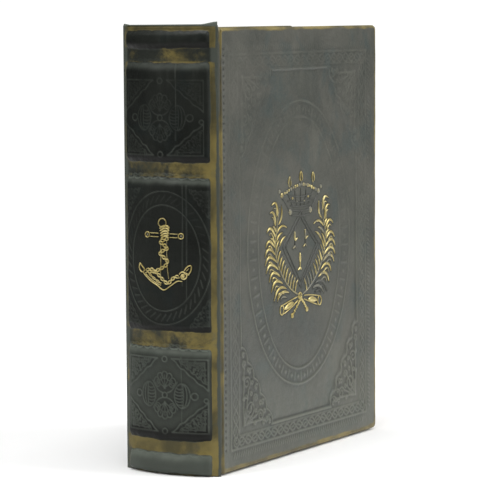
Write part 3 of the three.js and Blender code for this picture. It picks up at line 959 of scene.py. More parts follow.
def tool_small_panel(relief, lean, middle_v, strength):
    """The frame, corner triangles, rings and flower of the upper and lower panels."""
    middle_u = relief.width / 2 + lean
    half_u, half_v = 26.3, 21.6
    left, right = middle_u - half_u, middle_u + half_u
    head, tail = middle_v - half_v, middle_v + half_v
    leg_u, leg_v = half_u - 4.6, half_v - 3.4
    line, fine = 0.36 * strength, 0.30 * strength
    relief.strokes(in_corners([
        np.array(((0.0, 0.0), (leg_u, 0.0))),
        np.array(((0.0, 0.0), (0.0, leg_v))),
        through(*(np.array(q) * (leg_u, leg_v) for q in (
            (1.0, 0.0), (0.88, 0.10), (0.76, 0.28), (0.64, 0.34), (0.51, 0.51),
            (0.38, 0.61), (0.27, 0.76), (0.12, 0.86), (0.0, 1.0),
        )), steps=4),
    ], left, head, right, tail), 1.15, line)
    leaf = [curve * 0.94 + 0.6 for curve in corner_spray(leg_u * 0.8, leg_v * 0.8)]
    relief.strokes(in_corners(leaf, left, head, right, tail), 1.05, fine)
    rings = (
        ((middle_u - 18.4, middle_v), 2.0),
        ((middle_u + 18.4, middle_v), 2.0),
        ((middle_u, head + 0.4), 1.6),
        ((middle_u, tail - 0.4), 1.6),
        ((right - 1.2, middle_v + 2.4), 1.2),
    )
    for ring, radius in rings:
        relief.stroke(arc(ring, (radius, radius), 0, 360), 1.05, line)
    centre = np.array([middle_u, middle_v])
    relief.stroke(arc(centre, (1.6, 1.6), 0, 360), 1.0, line)
    for sign in (1, -1):
        relief.strokes(melon(centre + (sign * 11.0, 0), 4.8, 7.2, sign), 1.0, fine)
        relief.strokes(fan(centre + (0, sign * 4.4), 6.0, 7.4, sign), 1.0, fine)
        for turn in (-1, 1):
            curl = spiral(centre + (sign * 4.9, turn * 6.4), 2.3, 90 * turn, 1.3, sign * turn)
            relief.stroke(curl, 1.0, fine)
            way = np.array((sign, turn))
            stalk = bend(centre + way * 1.5, centre + way * (5, 2), centre + way * 8.0)
            relief.stroke(stalk, 0.95, fine)


def tool_centre_panel(relief):
    """The double oval, its leafy band and the corner sprays round the anchor."""
    middle = np.array([relief.width / 2 + 0.6, 134.4])
    relief.oval(middle, (29.0, 38.9), 1.2, 0.34)
    relief.oval(middle, (22.6, 30.9), 1.2, 0.36)
    leaves = 44
    for i in range(leaves):
        angle = 2 * np.pi * i / leaves
        way = np.array([math.cos(angle), math.sin(angle)])
        lean = np.array([-way[1], way[0]]) * 1.6
        rise = 0.26 if way[1] > -0.2 else 0.12
        leaf = (middle + way * (24.2, 32.8) - lean, middle + way * (27.0, 36.8) + lean)
        relief.stroke(leaf, 1.15, rise, taper=0.4)
    half_u, half_v = 28.4, 40.4
    spread = (middle[0] - half_u, middle[1] - half_v, middle[0] + half_u, middle[1] + half_v)
    relief.strokes(in_corners(corner_spray(12.0, 17.0), *spread), 1.0, 0.28)


def spine_bands():
    """Where the flat bands between the panels start and end."""
    spans = list(PANELS.values())
    return [(above[1], below[0]) for above, below in zip(spans, spans[1:])]


def add_spine():
    """The rounded spine: pillowed panels, gilt bands between them, tooling, and the turned-in ends."""
    relief = Relief(SPINE_ROUND, SPINE_HEIGHT, SPINE_PITCH)
    u, v = relief.u, relief.v
    waver = 0.5 * ripple(u, v, 26, 11) + 0.25 * ripple(u, v, 9, 12)
    gilt = np.ones_like(u)
    tone = np.zeros_like(u)
    from_side = np.minimum(u, relief.width - u)
    side = from_side - STRIP + 0.4 * waver
    under = np.zeros_like(u)
    uneven = 0.75 + 0.25 * ripple(u, v, 21, 14)
    for name, (top, bottom) in PANELS.items():
        below_head = (v - top + waver) / (3.0 if name == "head" else 6.5)
        above_tail = (bottom - v + waver) / (3.0 if name == "tail" else 4.2)
        at_head, at_tail = (np.sin(np.pi / 2 * np.clip(x, 0, 1)) for x in (below_head, above_tail))
        shoulder = at_head * at_tail
        flank = np.sin(np.pi / 2 * np.clip(side / 2.4, 0, 1))
        pillow = shoulder**0.9 * flank
        relief.ground = np.maximum(relief.ground, PANEL_RISE * pillow)
        covered = ease(np.minimum(pillow * 3.0, 1))
        gilt = np.minimum(gilt, 1 - covered)
        # a painted highlight on the side by the back cover
        side_highlight = 0.15 * ease((22 - u) / 18) if name in SIDE_LIT_PANELS else 0
        # a painted highlight along each panel's upper shoulder, in the rubbed colour
        below_shoulder = (v - top - 1.9 + 1.2 * waver) / 2.3
        shoulder_highlight = SHOULDER_HIGHLIGHT[name] * np.exp(-(below_shoulder**2)) * uneven
        tone = np.maximum(tone, (PANEL_TONES[name] + side_highlight + shoulder_highlight) * covered)
        # painted shade along each panel's lower shoulder, which also dims the tone there
        if name in UNDER_SHADE_REACH:
            reach = UNDER_SHADE_REACH[name]
            below = (bottom - v - 0.45 * reach + 0.8 * waver) / reach
            under = np.maximum(under, 0.9 * np.exp(-(below**2)) * covered)
            tone = tone * (1 - 0.8 * np.exp(-(below**2)) * covered)
    for (top, bottom), gilding in zip(spine_bands(), BAND_GILDING):
        smear = np.clip(0.5 + 0.7 * ripple(u, v, 34, int(top)), 0, 1)
        within = ease((v - top + 1.5) / 1.5) * ease((bottom + 1.0 - v) / 1.5)
        band_gilt = gilding * (1 - 0.5 * smear * ease((from_side - 6) / 6))
        gilt = gilt * (1 - within + within * band_gilt)
        tone = np.maximum(tone, 0.26 * gilding * within)
    bare = 1 - ease((from_side - BARE_EDGE + 0.5 * waver) / 0.7)
    gilt = gilt * (1 - 0.85 * bare) * (1 - 0.4 * ease((STRIP + 5 - u) / 6))
    # a painted highlight along each long edge of the spine
    tone = np.maximum(tone, 0.5 * ease((STRIP + 1 - from_side) / 2))
    relief.ground += (0.12 * ripple(u, v, 40, 7) + 0.05 * ripple(u, v, 9, 8)) * ease(side / 3)
    tool_small_panel(relief, -0.8, 53.0, 0.85)
    tool_small_panel(relief, 0.9, 214.6, 1.15)
    tool_centre_panel(relief)
    # handling has worn the tooling most at the head
    worn_at = (20, 40, 60, 80, 90, 120, 178, 188, 262)
    worn_to = np.interp(relief.vs, worn_at, (0.36, 0.55, 0.8, 0.9, 0.62, 0.62, 1, 1.1, 1.1))
    relief.raised *= worn_to[:, None] * (0.85 + 0.25 * ripple(u, v, 30, 15))
    for (_, bottom), rise in zip(spine_bands(), BAND_BRAID):
        for v0, swing, wave in ((bottom + 0.6, 1.0, 6.1), (bottom - 0.5, 0.6, 4.3)):
            for strand in braid((STRIP + 1, v0), (relief.width - STRIP - 1, v0), swing, wave):
                strand[:, 1] += 0.5 * ripple(strand[:, 0], strand[:, 0] * 0, 13, 16)
                relief.stroke(strand, 1.0, rise)
    for crease in CREASES:
        relief.stroke(through(*crease) + (relief.width / 2, 0), 0.9, 0.17)
    add_anchor(relief)

    rows, cols = u.shape
    end = np.clip(np.minimum(v, relief.height - v), 0, EDGE_ROUND)
    drop = EDGE_ROUND - np.sqrt(EDGE_ROUND**2 - (EDGE_ROUND - end) ** 2)
    drop = drop * ease(from_side / 2)
    face = lay_spine(u, v, relief.surface() - drop - 0.1 * relief.shade)
    points = [face.reshape(-1, 3)]
    faces = grid_faces(rows, cols)
    proud, sunk = relief.rubbed_and_sunk(0.3)
    # raised is wear and a painted highlight; pressed is antiquing and painted shade round the gilding and
    # under the panels
    values = {
        "raised": [proud.ravel() * 0.62],
        "pressed": [np.clip(sunk * 0.7 + relief.shade + under, 0, 0.9).ravel()],
        "gilt": [gilt.ravel() * 0.95],
        "tone": [tone.ravel()],
    }
    # the leather turned over each end, dished like a headcap, as far as the flat back of the spine
    steps = 9
    chords = []
    for row, sign in ((0, 1), (rows - 1, -1)):
        first = sum(len(p) for p in points)
        edge = face[row]
        shares = np.linspace(0, 1, steps)[1:]
        cap = np.repeat(edge[None], len(shares), axis=0)
        cap[..., 0] += shares[:, None] * (spine_high[0] - edge[None, :, 0])
        dish = 0.9 * np.sin(np.pi * shares)[:, None] * ease((SPINE_HALF - np.abs(edge[None, :, 1])) / 8)
        cap[..., 2] -= sign * dish
        points.append(cap.reshape(-1, 3))
        seam = row * cols + np.arange(cols)
        faces += [(seam[i], seam[i + 1], first + i + 1, first + i) for i in range(cols - 1)]
        faces += grid_faces(len(shares), cols, first)
        chords.append(first + (len(shares) - 1) * cols)
        for key, number in (("raised", 0), ("pressed", 0), ("gilt", 0.25), ("tone", 0.3)):
            values[key].append(np.full(len(shares) * cols, float(number)))
    head_row, tail_row = chords
    sides = np.arange(rows) * cols
    # the flat back, and a wall down each side that takes in the edges of both ends
    faces += [(head_row + i, head_row + i + 1, tail_row + i + 1, tail_row + i) for i in range(1, cols - 2)]
    back_steps = np.arange(len(shares))[::-1] * cols
    head_side, tail_side = head_row - back_steps, tail_row - back_steps
    for column, inward in ((0, 1), (cols - 1, -1)):
        loop = [*sides, *tail_side, tail_row + inward, head_row + inward, *head_side[::-1]]
        faces.append(tuple(int(i) + column for i in loop))
    values = {key: np.concatenate(parts) for key, parts in values.items()}
    obj = make_object("spine_tooled", np.vstack(points), faces, spine_leather, values)
    panels = ("spine_panel_" + name for name in PANELS)
    claim(obj, "case", "spine_leather", "spine_leather", "spine_head_cap", "spine_tail_cap", *panels)


def add_headcap_roll():
    """The rolled leather over the head of the spine, which rises to an ear beside each cover."""
    rows, sides = 120, 14
    u = np.linspace(0.4, SPINE_ROUND - 0.4, rows)
    share = u / SPINE_ROUND
    ear = 1.5 * ease((share - 0.84) / 0.16) + 0.6 * ease((0.10 - share) / 0.10)
    height = 0.4 + 0.4 * share + ear
    depth = 0.95 - 0.35 * np.abs(2 * share - 1) ** 4
    angles = np.arange(sides) / sides * 2 * np.pi
    points = []
    for i in range(rows):
        out = -depth[i] - 0.1 + depth[i] * np.cos(angles)
        lift = height[i] * np.where(np.sin(angles) > 0, np.sin(angles), 0.5 * np.sin(angles))
        ring = lay_spine(np.full(sides, u[i]), -lift, out)
        points.append(ring)
    flat = np.zeros(rows * sides)
    # the roll is painted light all over in the rubbed colour: a painted highlight
    values = {"raised": flat + 0.6, "pressed": flat, "gilt": flat + 0.1, "tone": flat + 0.7}
    faces = tube_faces(rows, sides)
    obj = make_object("spine_headcap_roll", np.vstack(points), faces, spine_leather, values)
    claim(obj, "case", "spine_leather")


# ------------------------------------------------------------------ gilding
class Gilding:
    """Raised strokes of gold foil gathered into one mesh, on the ground of a relief."""

    SECTION = ((-1.0, -0.30), (-0.68, 0.62), (0.0, 1.0), (0.68, 0.62), (1.0, -0.30))
    HALO = 1.3  # how much wider than the gilding its outline of painted shade is
    # how dark the painted shade in that outline is
    SCORCH = 0.75

    def __init__(self, relief, lay, origin):
        self.relief, self.lay, self.origin = relief, lay, np.array(origin, float)
        self.points, self.faces, self.wear = [], [], []
        self.count = 0

    def add_tube(self, u, v, out, wear):
        """A closed tube, one row of points a ring, laid on the leather's ground."""
        u, v = u + self.origin[0], v + self.origin[1]
        placed = self.lay(u, v, self.relief.ground_at(u, v) + out).reshape(-1, 3)
        self.points.append(placed)
        self.faces += tube_faces(*out.shape, self.count)
        self.count += len(placed)
        self.wear += [wear] * len(placed)

    def blade(self, path, width, wear, shape="line", rise=0.42, halo_shade=SCORCH):
        """A stroke along path. A leaf tapers to both ends, and a line keeps its width."""
        path = resample(path, 0.7)
        t = np.linspace(0, 1, len(path))
        if shape == "leaf":
            shares = np.maximum(np.sin(np.pi * t**0.85), 0) ** 0.7
        else:
            shares = np.minimum(1, 0.5 + 6 * np.minimum(t, 1 - t))
        half = np.maximum(width / 2 * shares, 0.12)
        along = np.gradient(path, axis=0)
        along /= np.hypot(*along.T)[:, None] + 1e-9
        across = np.column_stack([-along[:, 1], along[:, 0]])
        section = np.array(self.SECTION)
        place = path[:, None, :] + across[:, None, :] * (half[:, None] * section[None, :, 0])[..., None]
        heights = section[None, :, 1]
        crest = rise * np.minimum(1, 0.35 + shares)[:, None]
        out = np.where(heights > 0, heights * crest, heights)
        self.add_tube(place[..., 0], place[..., 1], out, wear)
        # painted shade in an outline round the stroke
        self.relief.stroke(path + self.origin, width + self.HALO, halo_shade, marks=self.relief.shade, taper=0.3)

    def leaf(self, base, peak, tip, width, wear):
        """A curled leaf from base to tip, pulled towards peak."""
        self.blade(bend(base, peak, tip, 12), width, wear, "leaf", 0.55)

    def dome(self, centre, radius, wear, rise=0.6):
        """A round boss, with its foot sunk in the leather."""
        sides, levels = 14, 4
        angles = np.arange(sides) / sides * 2 * np.pi
        tilts = np.pi / 2 * np.arange(levels)[:, None] / levels
        u = centre[0] + radius * np.cos(tilts) * np.cos(angles)
        v = centre[1] + radius * np.cos(tilts) * np.sin(angles)
        out = np.repeat(rise * np.sin(tilts), sides, axis=1)
        out[0] -= 0.3
        self.add_tube(u, v, out, wear)
        spot = np.array(centre, float) + self.origin
        # painted shade round the boss
        self.relief.stroke((spot, spot + 0.1), 2 * radius + self.HALO, self.SCORCH, marks=self.relief.shade)

    def ring(self, centre, radius, width, wear):
        self.blade(arc(centre, (radius, radius), 0, 360, 22), width, wear)

    def rope(self, path, width, wear):
        """Two strands laid round each other, with dark eyes between them."""
        step, lay_length = 0.35, 3.0
        path = resample(path, step)
        along = np.gradient(path, axis=0)
        along /= np.hypot(*along.T)[:, None] + 1e-9
        across = np.column_stack([-along[:, 1], along[:, 0]])
        turn = np.arange(len(path)) * step / lay_length * np.pi
        for phase in (0, np.pi):
            strand = path + across * (0.34 * width * np.sin(turn + phase))[:, None]
            self.blade(strand, width * 0.40, wear, rise=0.5)

    def make(self, name, body):
        obj = make_object(name, np.vstack(self.points), self.faces, gold_leaf, {"wear": self.wear})
        claim(obj, body, "gilding")


CREST_CENTRE = (93.2, 135.5)


def mirrored(curve, side):
    return np.asarray(curve, float) * (side, 1)


def crest(relief):
    return Gilding(relief, lay_front, CREST_CENTRE)


# across the crown: the v of a line's left end, middle and right end, its reach and its wear
CROWN_LINES = (
    (-33.4, -32.4, -33.0, 13.6, 0.72),
    (-30.6, -28.8, -30.0, 15.8, 0.70),
    (-27.6, -26.4, -27.2, 12.6, 0.74),
    (-25.0, -23.6, -24.2, 12.4, 0.68),
    (-21.6, -20.6, -21.0, 11.4, 0.74),
)


def add_crown(relief):
    """Five pearls on a row of beads, over a ribbed body and a rolled rim, nearly all rubbed bare."""
    g = crest(relief)
    for a, b, wear in ((-13.2, -42.0, 0.42), (0.6, -44.6, 0.32), (15.6, -43.4, 0.36)):
        for side in (1, -1):
            leaf = bend((a, b - 3.4), (a + side * 2.6, b + 0.6), (a + side * 0.5, b + 3.0))
            g.blade(leaf, 1.15, wear, "leaf", 0.6)
        g.blade(((a, b + 2.6), (a * 0.97, b + 5.0)), 0.9, 0.5)
    beads = through((-19.0, -35.6), (-13.0, -37.2), (-6.0, -38.9), (2.0, -39.6), (10.0, -38.6), (19.0, -35.6))
    for k, spot in enumerate(resample(beads, 2.5)):
        g.dome(spot, 1.2 if k % 2 else 0.9, 0.32 + 0.28 * rng.random(), 0.5)
    for side in (1, -1):
        g.dome((side * 22.4, -34.4), 1.7, 0.36 if side < 0 else 0.5, 0.6)
        g.dome((side * 25.6, -37.0), 1.3, 0.46, 0.5)
        g.blade(mirrored(bend((21.5, -32.0), (17.5, -30.0), (13.2, -23.6)), side), 1.1, 0.72, halo_shade=0.35)
        g.blade(mirrored(bend((15.5, -35.0), (12.5, -31.5), (9.0, -26.2)), side), 0.9, 0.74, halo_shade=0.25)
        g.blade(mirrored(bend((7.0, -36.6), (6.4, -32.0), (4.2, -26.6)), side), 0.9, 0.74, halo_shade=0.25)
        g.dome((side * 12.2, -23.6), 2.0, 0.50, 0.6)
        g.dome((side * 9.6, -32.0), 1.0, 0.40, 0.4)
        g.dome((side * 4.6, -29.4), 0.8, 0.52, 0.4)
    g.blade(((0, -37.4), (0, -26.6)), 0.9, 0.74, halo_shade=0.25)
    for left_v, middle_v, right_v, reach, wear in CROWN_LINES:
        g.blade(through((-reach, left_v), (0, middle_v), (reach, right_v)), 1.0, wear, halo_shade=0.35)
    g.make("crest_crown", "front_cover")


def add_lozenge(relief):
    """A blind double lozenge round three sprigs, of which one has kept its gold."""
    g = crest(relief)
    for half_u, half_v, width, wear in ((21.8, 23.2, 1.1, 0.72), (18.2, 19.6, 0.8, 0.80)):
        tips = ((0.4, -half_v), (half_u + 1, -2.0), (0, half_v), (-half_u, -2.6), (0.4, -half_v))
        for a, b in zip(tips, tips[1:]):
            g.blade((a, b), width, wear, rise=0.36)
    # each sprig's place, its wear, how wide its leaves are left and how worn its stem is
    for a, b, wear, kept, stem_wear in (
        (-7.2, -6.2, 0.46, 0.7, 0.72), (5.8, -6.4, 0.44, 0.7, 0.70), (-0.8, 7.4, 0.14, 1.0, 0.14)
    ):
        g.blade(((a - 0.2, b - 5.6), (a + 0.1, b + 0.8)), 2.6 * kept, wear, "leaf", 0.6)
        g.blade(((a + 0.1, b - 0.4), (a, b + 4.0)), 0.9, stem_wear)
        for spread in (-3.0, 1.5):
            g.leaf((a, b + 3.0), (a + spread * 0.4, b + 4.6), (a + spread, b + 5.0), 1.5 * kept, wear)
        if kept < 1:
            g.leaf((a, b + 0.8), (a + 2.4, b - 1.6), (a + 4.0, b - 1.0), 1.2, wear - 0.04)
    g.make("crest_lozenge", "front_cover")


# base, peak and tip of the leaves on the branch that lies to the right: those that droop outside it
OUTER_LEAVES = (
    ((14.5, 25.2), (24.0, 21.6), (28.9, 29.2)), ((17.5, 22.6), (28.0, 17.6), (32.6, 28.6)),
    ((22.0, 19.0), (32.5, 13.0), (35.6, 23.0)), ((24.9, 14.6), (35.2, 7.2), (38.2, 16.6)),
    ((27.2, 10.2), (38.2, 1.8), (42.0, 11.2)), ((29.2, 5.6), (39.5, -2.8), (43.2, 6.4)),
    ((30.8, 1.0), (39.6, -7.6), (43.4, 1.2)), ((31.4, -3.6), (38.6, -11.8), (42.4, -4.4)),
    ((30.4, -9.6), (36.0, -19.4), (40.8, -13.2)), ((30.0, -16.4), (31.0, -27.6), (37.0, -24.6)),
    ((27.6, -22.4), (28.0, -33.8), (34.8, -29.2)),
)
# and the short ones beside its stem
SHORT_LEAVES = (
    ((31.4, -5.4), (32.2, -9.6), (36.6, -9.4)), ((29.6, -12.4), (30.4, -15.4), (33.6, -16.6)),
    ((29.6, -7.0), (26.6, -11.8), (21.6, -12.0)), ((28.6, -12.0), (23.6, -18.6), (16.4, -14.4)),
    ((27.0, -17.0), (21.0, -20.8), (23.2, -28.4)), ((26.0, -3.6), (23.4, -8.4), (18.4, -9.6)),
)


def add_branch(relief, side, name, faded):
    """A laurel branch that rises beside the lozenge: drooping leaves outside it, upright ones inside."""
    g = crest(relief)
    stem = through((0.6, 28.3), (9.6, 24.6), (17.8, 19.0), (24.2, 12.2), (28.8, 5.0), (30.8, -2.4),
                   (30.4, -9.0), (28.6, -15.0), (27.4, -21.0), (26.0, -27.0))
    g.blade(mirrored(stem, side), 1.1, 0.44 + 0.1 * faded)
    for k, (base, peak, tip) in enumerate(OUTER_LEAVES):
        wear = 0.18 + 0.18 * rng.random() + faded * (0.36 if k < 2 else 0.05)
        base, peak, tip = (mirrored(q, side) for q in (base, peak, tip))
        g.leaf(base, peak, tip, 2.1, wear)
        under = (base * 0.8 + tip * 0.2, peak * 0.82 + base * 0.09 + tip * 0.09, tip * 0.74 + base * 0.26)
        g.leaf(under[0] + (0, 1.9), under[1] + (0, 2.9), under[2] + (0, 0.8), 1.2, wear + 0.12)
    for leaf in SHORT_LEAVES:
        g.leaf(*(mirrored(q, side) for q in leaf), 1.75, 0.22 + 0.2 * rng.random() + 0.06 * faded)
    stem = resample(stem, 0.5)
    upright_leaves = 11
    for k, t in enumerate(np.linspace(0.10, 0.62, upright_leaves)):
        base = stem[int(t * (len(stem) - 1))]
        tip = base + (-3.4 - 1.0 * t, -8.2 + 1.2 * t)
        wear = 0.24 + 0.20 * rng.random() + 0.08 * faded
        g.leaf(*(mirrored(q, side) for q in (base, (base + tip) / 2 + (1.3, -0.6), tip)), 1.5, wear)
    g.make(name, "front_cover")


def add_ribbon(relief):
    """The rolled ribbon ends, cords and knot under the branches."""
    g = crest(relief)
    for side, sag in ((1, -1.4), (-1, 0.0)):
        top = bend((4.0, 28.6), (13, 30.0 + sag), (25.0, 32.6 + sag))
        low = bend((3.4, 30.6), (11, 34.6 + sag), (21.0, 37.4 + sag))
        fill = bend((9, 31.6), (14, 33.0 + sag), (20.8, 34.7 + sag))
        g.blade(mirrored(top, side), 0.9, 0.24)
        g.blade(mirrored(low, side), 0.9, 0.24)
        g.blade(mirrored(fill, side), 4.2, 0.24, "leaf", 0.5)
        g.blade(arc((side * 23.4, 35.0 + sag), (2.2, 2.9), 0, 360, 24), 0.9, 0.22)
    for end, middle in (((-10.6, 39.6), (-4.0, 33.5)), ((7.2, 37.4), (3.4, 32.4))):
        cord = bend((0, 30), middle, end, 10)
        for k, point in enumerate(cord[:-1]):
            g.dome(point, 1.0 if k % 2 else 0.7, 0.25, 0.5)
        g.dome(cord[-1], 1.7, 0.22, 0.6)
    g.ring((-1.0, 28.3), 1.9, 1.2, 0.12)
    g.blade(spiral((-1.0, 28.3), 1.4, 20, 1.0, 1), 0.8, 0.2)
    g.make("crest_ribbon", "front_cover")


def add_anchor(relief):
    """An outlined anchor, the turns round its ring and the rope that winds down to its arms."""
    g = Gilding(relief, lay_spine, (relief.width / 2, 0))
    g.ring((0.1, 113.9), 2.6, 0.8, 0.30)
    for v0, left_end, right_end in ((120.0, -2.4, 4.6), (122.1, -2.2, 4.4)):
        g.blade(((-8.8, v0), (left_end, v0)), 0.6, 0.26)
        g.blade(((right_end, v0 + 0.1), (10.2, v0 + 0.2)), 0.6, 0.34)
    for s, v0 in ((-10.4, 121.1), (11.9, 121.3)):
        g.ring((s, v0), 1.6, 0.85, 0.26)
        g.dome((s + 0.1, v0), 0.75, 0.5, 0.3)
    g.blade(((-0.9, 123.5), (-1.0, 138.0), (-1.3, 145.0)), 0.55, 0.4)
    g.blade(((3.0, 123.5), (3.0, 138.0), (4.0, 146.4)), 0.55, 0.34)
    arms = (
        (-14.3, 143.2), (-8.8, 147.8), (-3.7, 150.4), (0.7, 153.0), (5.4, 150.2), (9.4, 147.6), (12.6, 147.6),
    )
    g.blade(through(*arms), 0.85, 0.24)
    g.blade(through((-12.6, 143.6), (-7.6, 147.4), (-1.0, 150.6)), 0.6, 0.3)
    g.blade(through((-16.4, 138.0), (-17.0, 140.8), (-15.6, 143.0), (-14.0, 143.4)), 0.9, 0.18)
    g.blade(through((-16.4, 138.0), (-14.6, 140.0), (-12.8, 141.6), (-13.6, 143.2)), 0.85, 0.22)
    g.blade(through((13.6, 141.4), (15.6, 138.9), (17.8, 138.4), (17.6, 141.2), (15.8, 144.0)), 0.9, 0.2)
    g.blade(through((14.8, 141.6), (16.6, 139.8)), 0.6, 0.3)
    g.make("spine_anchor", "case")

    g = Gilding(relief, lay_spine, (relief.width / 2, 0))
    for k in range(5):
        v0 = 116.2 + 1.5 * k
        swing = 3.3 - 0.25 * k
        turn = through((1.5 - swing, v0 + 1.0), (0.8, v0 - 0.5), (3.4, v0 - 0.5), (1.5 + swing, v0 + 0.8))
        g.blade(turn, 1.3, 0.22)
    down_the_shank = (
        (4.4, 122.6), (1.0, 124.0), (-1.5, 124.6), (0.4, 126.4), (3.5, 128.2), (1.2, 129.8), (-1.6, 131.2),
        (0.4, 133.6), (3.0, 135.6), (2.6, 138.2), (-1.6, 140.8), (-6.2, 142.6), (-12.6, 142.8),
    )
    along_the_arms = (
        (-11.8, 142.0), (-7.4, 141.4), (-3.6, 143.6), (0.2, 147.0), (3.4, 149.2), (5.8, 146.8), (8.6, 144.9),
        (11.0, 145.6),
    )
    g.rope(through(*down_the_shank), 2.5, 0.2)
    g.rope(through(*along_the_arms), 2.3, 0.2)
    g.rope(through((-9.6, 143.6), (-6.0, 146.4), (-0.6, 149.6)), 1.5, 0.24)
    g.blade(spiral((13.1, 144.5), 2.7, 200, 1.5, 1), 1.05, 0.18)
    g.dome((13.1, 144.5), 1.0, 0.25, 0.6)
    for k in range(3):
        g.blade(((12.4 + k, 141.6 + 0.4 * k), (14.6 + k, 143.4 + 0.2 * k)), 0.9, 0.15)
    g.make("spine_anchor_rope", "case")


# ------------------------------------------------------------------ the leather joint
def add_hinge_leather():
    """The strip of leather that folds in the groove between the spine and the front cover."""
    case_low, _ = box_mm("joint_leather_case_side")
    cover_low, cover_high = box_mm("joint_leather_cover_side")
    start_x, end_x = spine_high[0] + GLUE_GAP, front_low[0] - GLUE_GAP
    surface_y, thickness = front_low[1] + 0.75, 0.55
    across, rows = 13, 90
    t = np.linspace(0, 1, across)
    xs = start_x + (end_x - start_x) * t
    zs = np.linspace(case_low[2] + 0.5, cover_high[2], rows)
    sag = 0.95 * np.sin(np.pi * t) ** 0.8
    points = []
    for depth in (0.0, thickness):
        for z in zs:
            uneven = 0.05 * math.sin(z * 0.31) + 0.04 * math.sin(z * 0.83 + 1)
            points += [(x, surface_y + s + depth + uneven, z) for x, s in zip(xs, sag)]
    faces = grid_faces(rows, across) + grid_faces(rows, across, rows * across)
    rim = rim_of(rows, across)
    faces += [(a, b, b + rows * across, a + rows * across) for a, b in zip(rim, np.roll(rim, -1))]
    # pressed paints shade into the crease of the fold
    crease = 0.55
    beside_crease = np.abs(2 * (t - crease)) ** 0.7
    flat = np.zeros(2 * rows * across)
    values = {
        "raised": flat,
        "pressed": np.tile(np.exp(-(((t - crease) / 0.16) ** 2)), 2 * rows) * 0.85,
        "gilt": np.tile(beside_crease * 0.75, 2 * rows),
        "tone": flat + 0.25,
    }
    obj = make_object("hinge_leather", points, faces, cover_leather, values)
    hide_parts("joint_leather_case_side", "joint_leather_cover_side")
    z = float(cover_low[2]) * MM
    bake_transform(obj)


# ------------------------------------------------------------------ page edges and headbands
def add_page_edges(name, node, out_axis, out_sign, along_axis):
    """A block of leaf edges that fills a CAD strip: thin ridges that run along it, none quite level."""
    low, high = box_mm(node)
    leaf, gap_depth, stations = 0.44, 0.26, 40
    span_y = high[1] - low[1]
    leaves = int(span_y / leaf)
    ys, depths, gaps = [], [], []
    for i in range(leaves):
        y0 = low[1] + span_y * i / leaves
        level = 0.13 * rng.random() + (0.12 if rng.random() < 0.06 else 0)
        for share, depth, gap in ((0.0, gap_depth, 1.0), (0.22, 0.0, 0.0), (0.78, 0.0, 0.0)):
            ys.append(y0 + share * span_y / leaves)
            depths.append(level + depth)
            gaps.append(gap)
    ys.append(high[1])
    depths.append(gap_depth)
    gaps.append(1.0)
    along = np.linspace(low[along_axis], high[along_axis], stations)
    ys, depths = np.array(ys), np.array(depths)
    sway = 0.06 * ripple(ys[None, :], along[:, None], 45, 13)
    top = high[out_axis] if out_sign > 0 else low[out_axis]
    bottom = low[out_axis] if out_sign > 0 else high[out_axis]
    face = np.zeros((stations, len(ys), 3))
    face[..., 1] = ys
    face[..., along_axis] = along[:, None]
    face[..., out_axis] = top - out_sign * (depths[None, :] + 0.08 + sway)
    points, faces = flat_backed(face, out_axis, bottom)
    # pressed paints shade into the gaps between the leaves, and colours the walls and back dark
    pressed = np.ones(len(points))
    pressed[: stations * len(ys)] = np.tile(gaps, stations)
    claim(make_object(name, points, faces, page_edges, {"pressed": pressed}), "case", "pages", node)


def add_headband(name, z_middle):
    """A roll of two-coloured silk sewn over the end of the pages, where they meet the spine."""
    low, high = box_mm("spine_side_wall")
    radius, sides, turns = 1.05, 12, 46
    x_middle = spine_high[0] + radius + 0.25
    rows = turns * 6
    ys = np.linspace(low[1] + 0.6, high[1] - 0.6, rows)
    angles = np.arange(sides) / sides * 2 * np.pi
    points, tones = [], []
    for row, y in enumerate(ys):
        wrap = row / rows * turns
        for angle in angles:
            twist = wrap * 2 * np.pi + angle
            r = radius * (0.88 + 0.12 * math.cos(twist))
            points.append((x_middle + r * math.cos(angle), y, z_middle + r * math.sin(angle)))
            tones.append(float(int(wrap + angle / (2 * np.pi)) // 2 % 2))
    obj = make_object(name, points, tube_faces(rows, sides), headband_silk, {"tone": tones})
    claim(obj, "case", "velvet")


# ------------------------------------------------------------------ linings and pads
def add_cover_inside():
    """The turned-in leather round the inside of the front cover and the velvet panel glued over it."""
    inside_y = front_high[1]
    turn_in, thick = 13.0, 0.40
    left, right = front_low[0] + 0.9, front_high[0] - 0.9
    bottom, top = front_low[2] + 0.9, front_high[2] - 0.9
    corners = np.array(((left, bottom), (right, bottom), (right, top), (left, top)))
    inward = np.array(((1, 1), (-1, 1), (-1, -1), (1, -1)))
    points, faces = [], []
    for i in range(4):
        j = (i + 1) % 4
        way = (corners[j] - corners[i]) / np.hypot(*(corners[j] - corners[i]))
        start, end = corners[i] + way * GLUE_GAP, corners[j] - way * GLUE_GAP  # mitres that don't quite meet
        outline = [start, end, end + inward[j] * turn_in, start + inward[i] * turn_in]
        middle = np.mean(outline, axis=0)
        first = len(points)
        for share, y in ((1.0, -0.05), (1.0, thick * 0.6), (0.992, thick)):
            points += [(*(middle + (p - middle) * share), inside_y + y) for p in outline]
        faces += tube_faces(3, 4, first)
    points = [(x, y, z) for x, z, y in points]
    flat = np.zeros(len(points))
    values = {"raised": flat, "pressed": flat, "gilt": flat + 0.1, "tone": flat}
    turn_ins = make_object("front_cover_turn_ins", points, faces, cover_leather, values)
    turn_ins.data.polygons.foreach_set("use_smooth", [False] * len(turn_ins.data.polygons))
    claim(turn_ins, "front_cover", "cover_leather")

    inset = 8.5
    panel = soft_panel(
        "front_cover_velvet",
        (left + inset, inside_y + GLUE_GAP, bottom + inset),
        (right - inset, inside_y + 0.60, top - inset),
        out_axis=1, out_sign=1, swell=0.0, edge=0.4,
    )
    claim(panel, "front_cover", "velvet", "front_cover_lining")


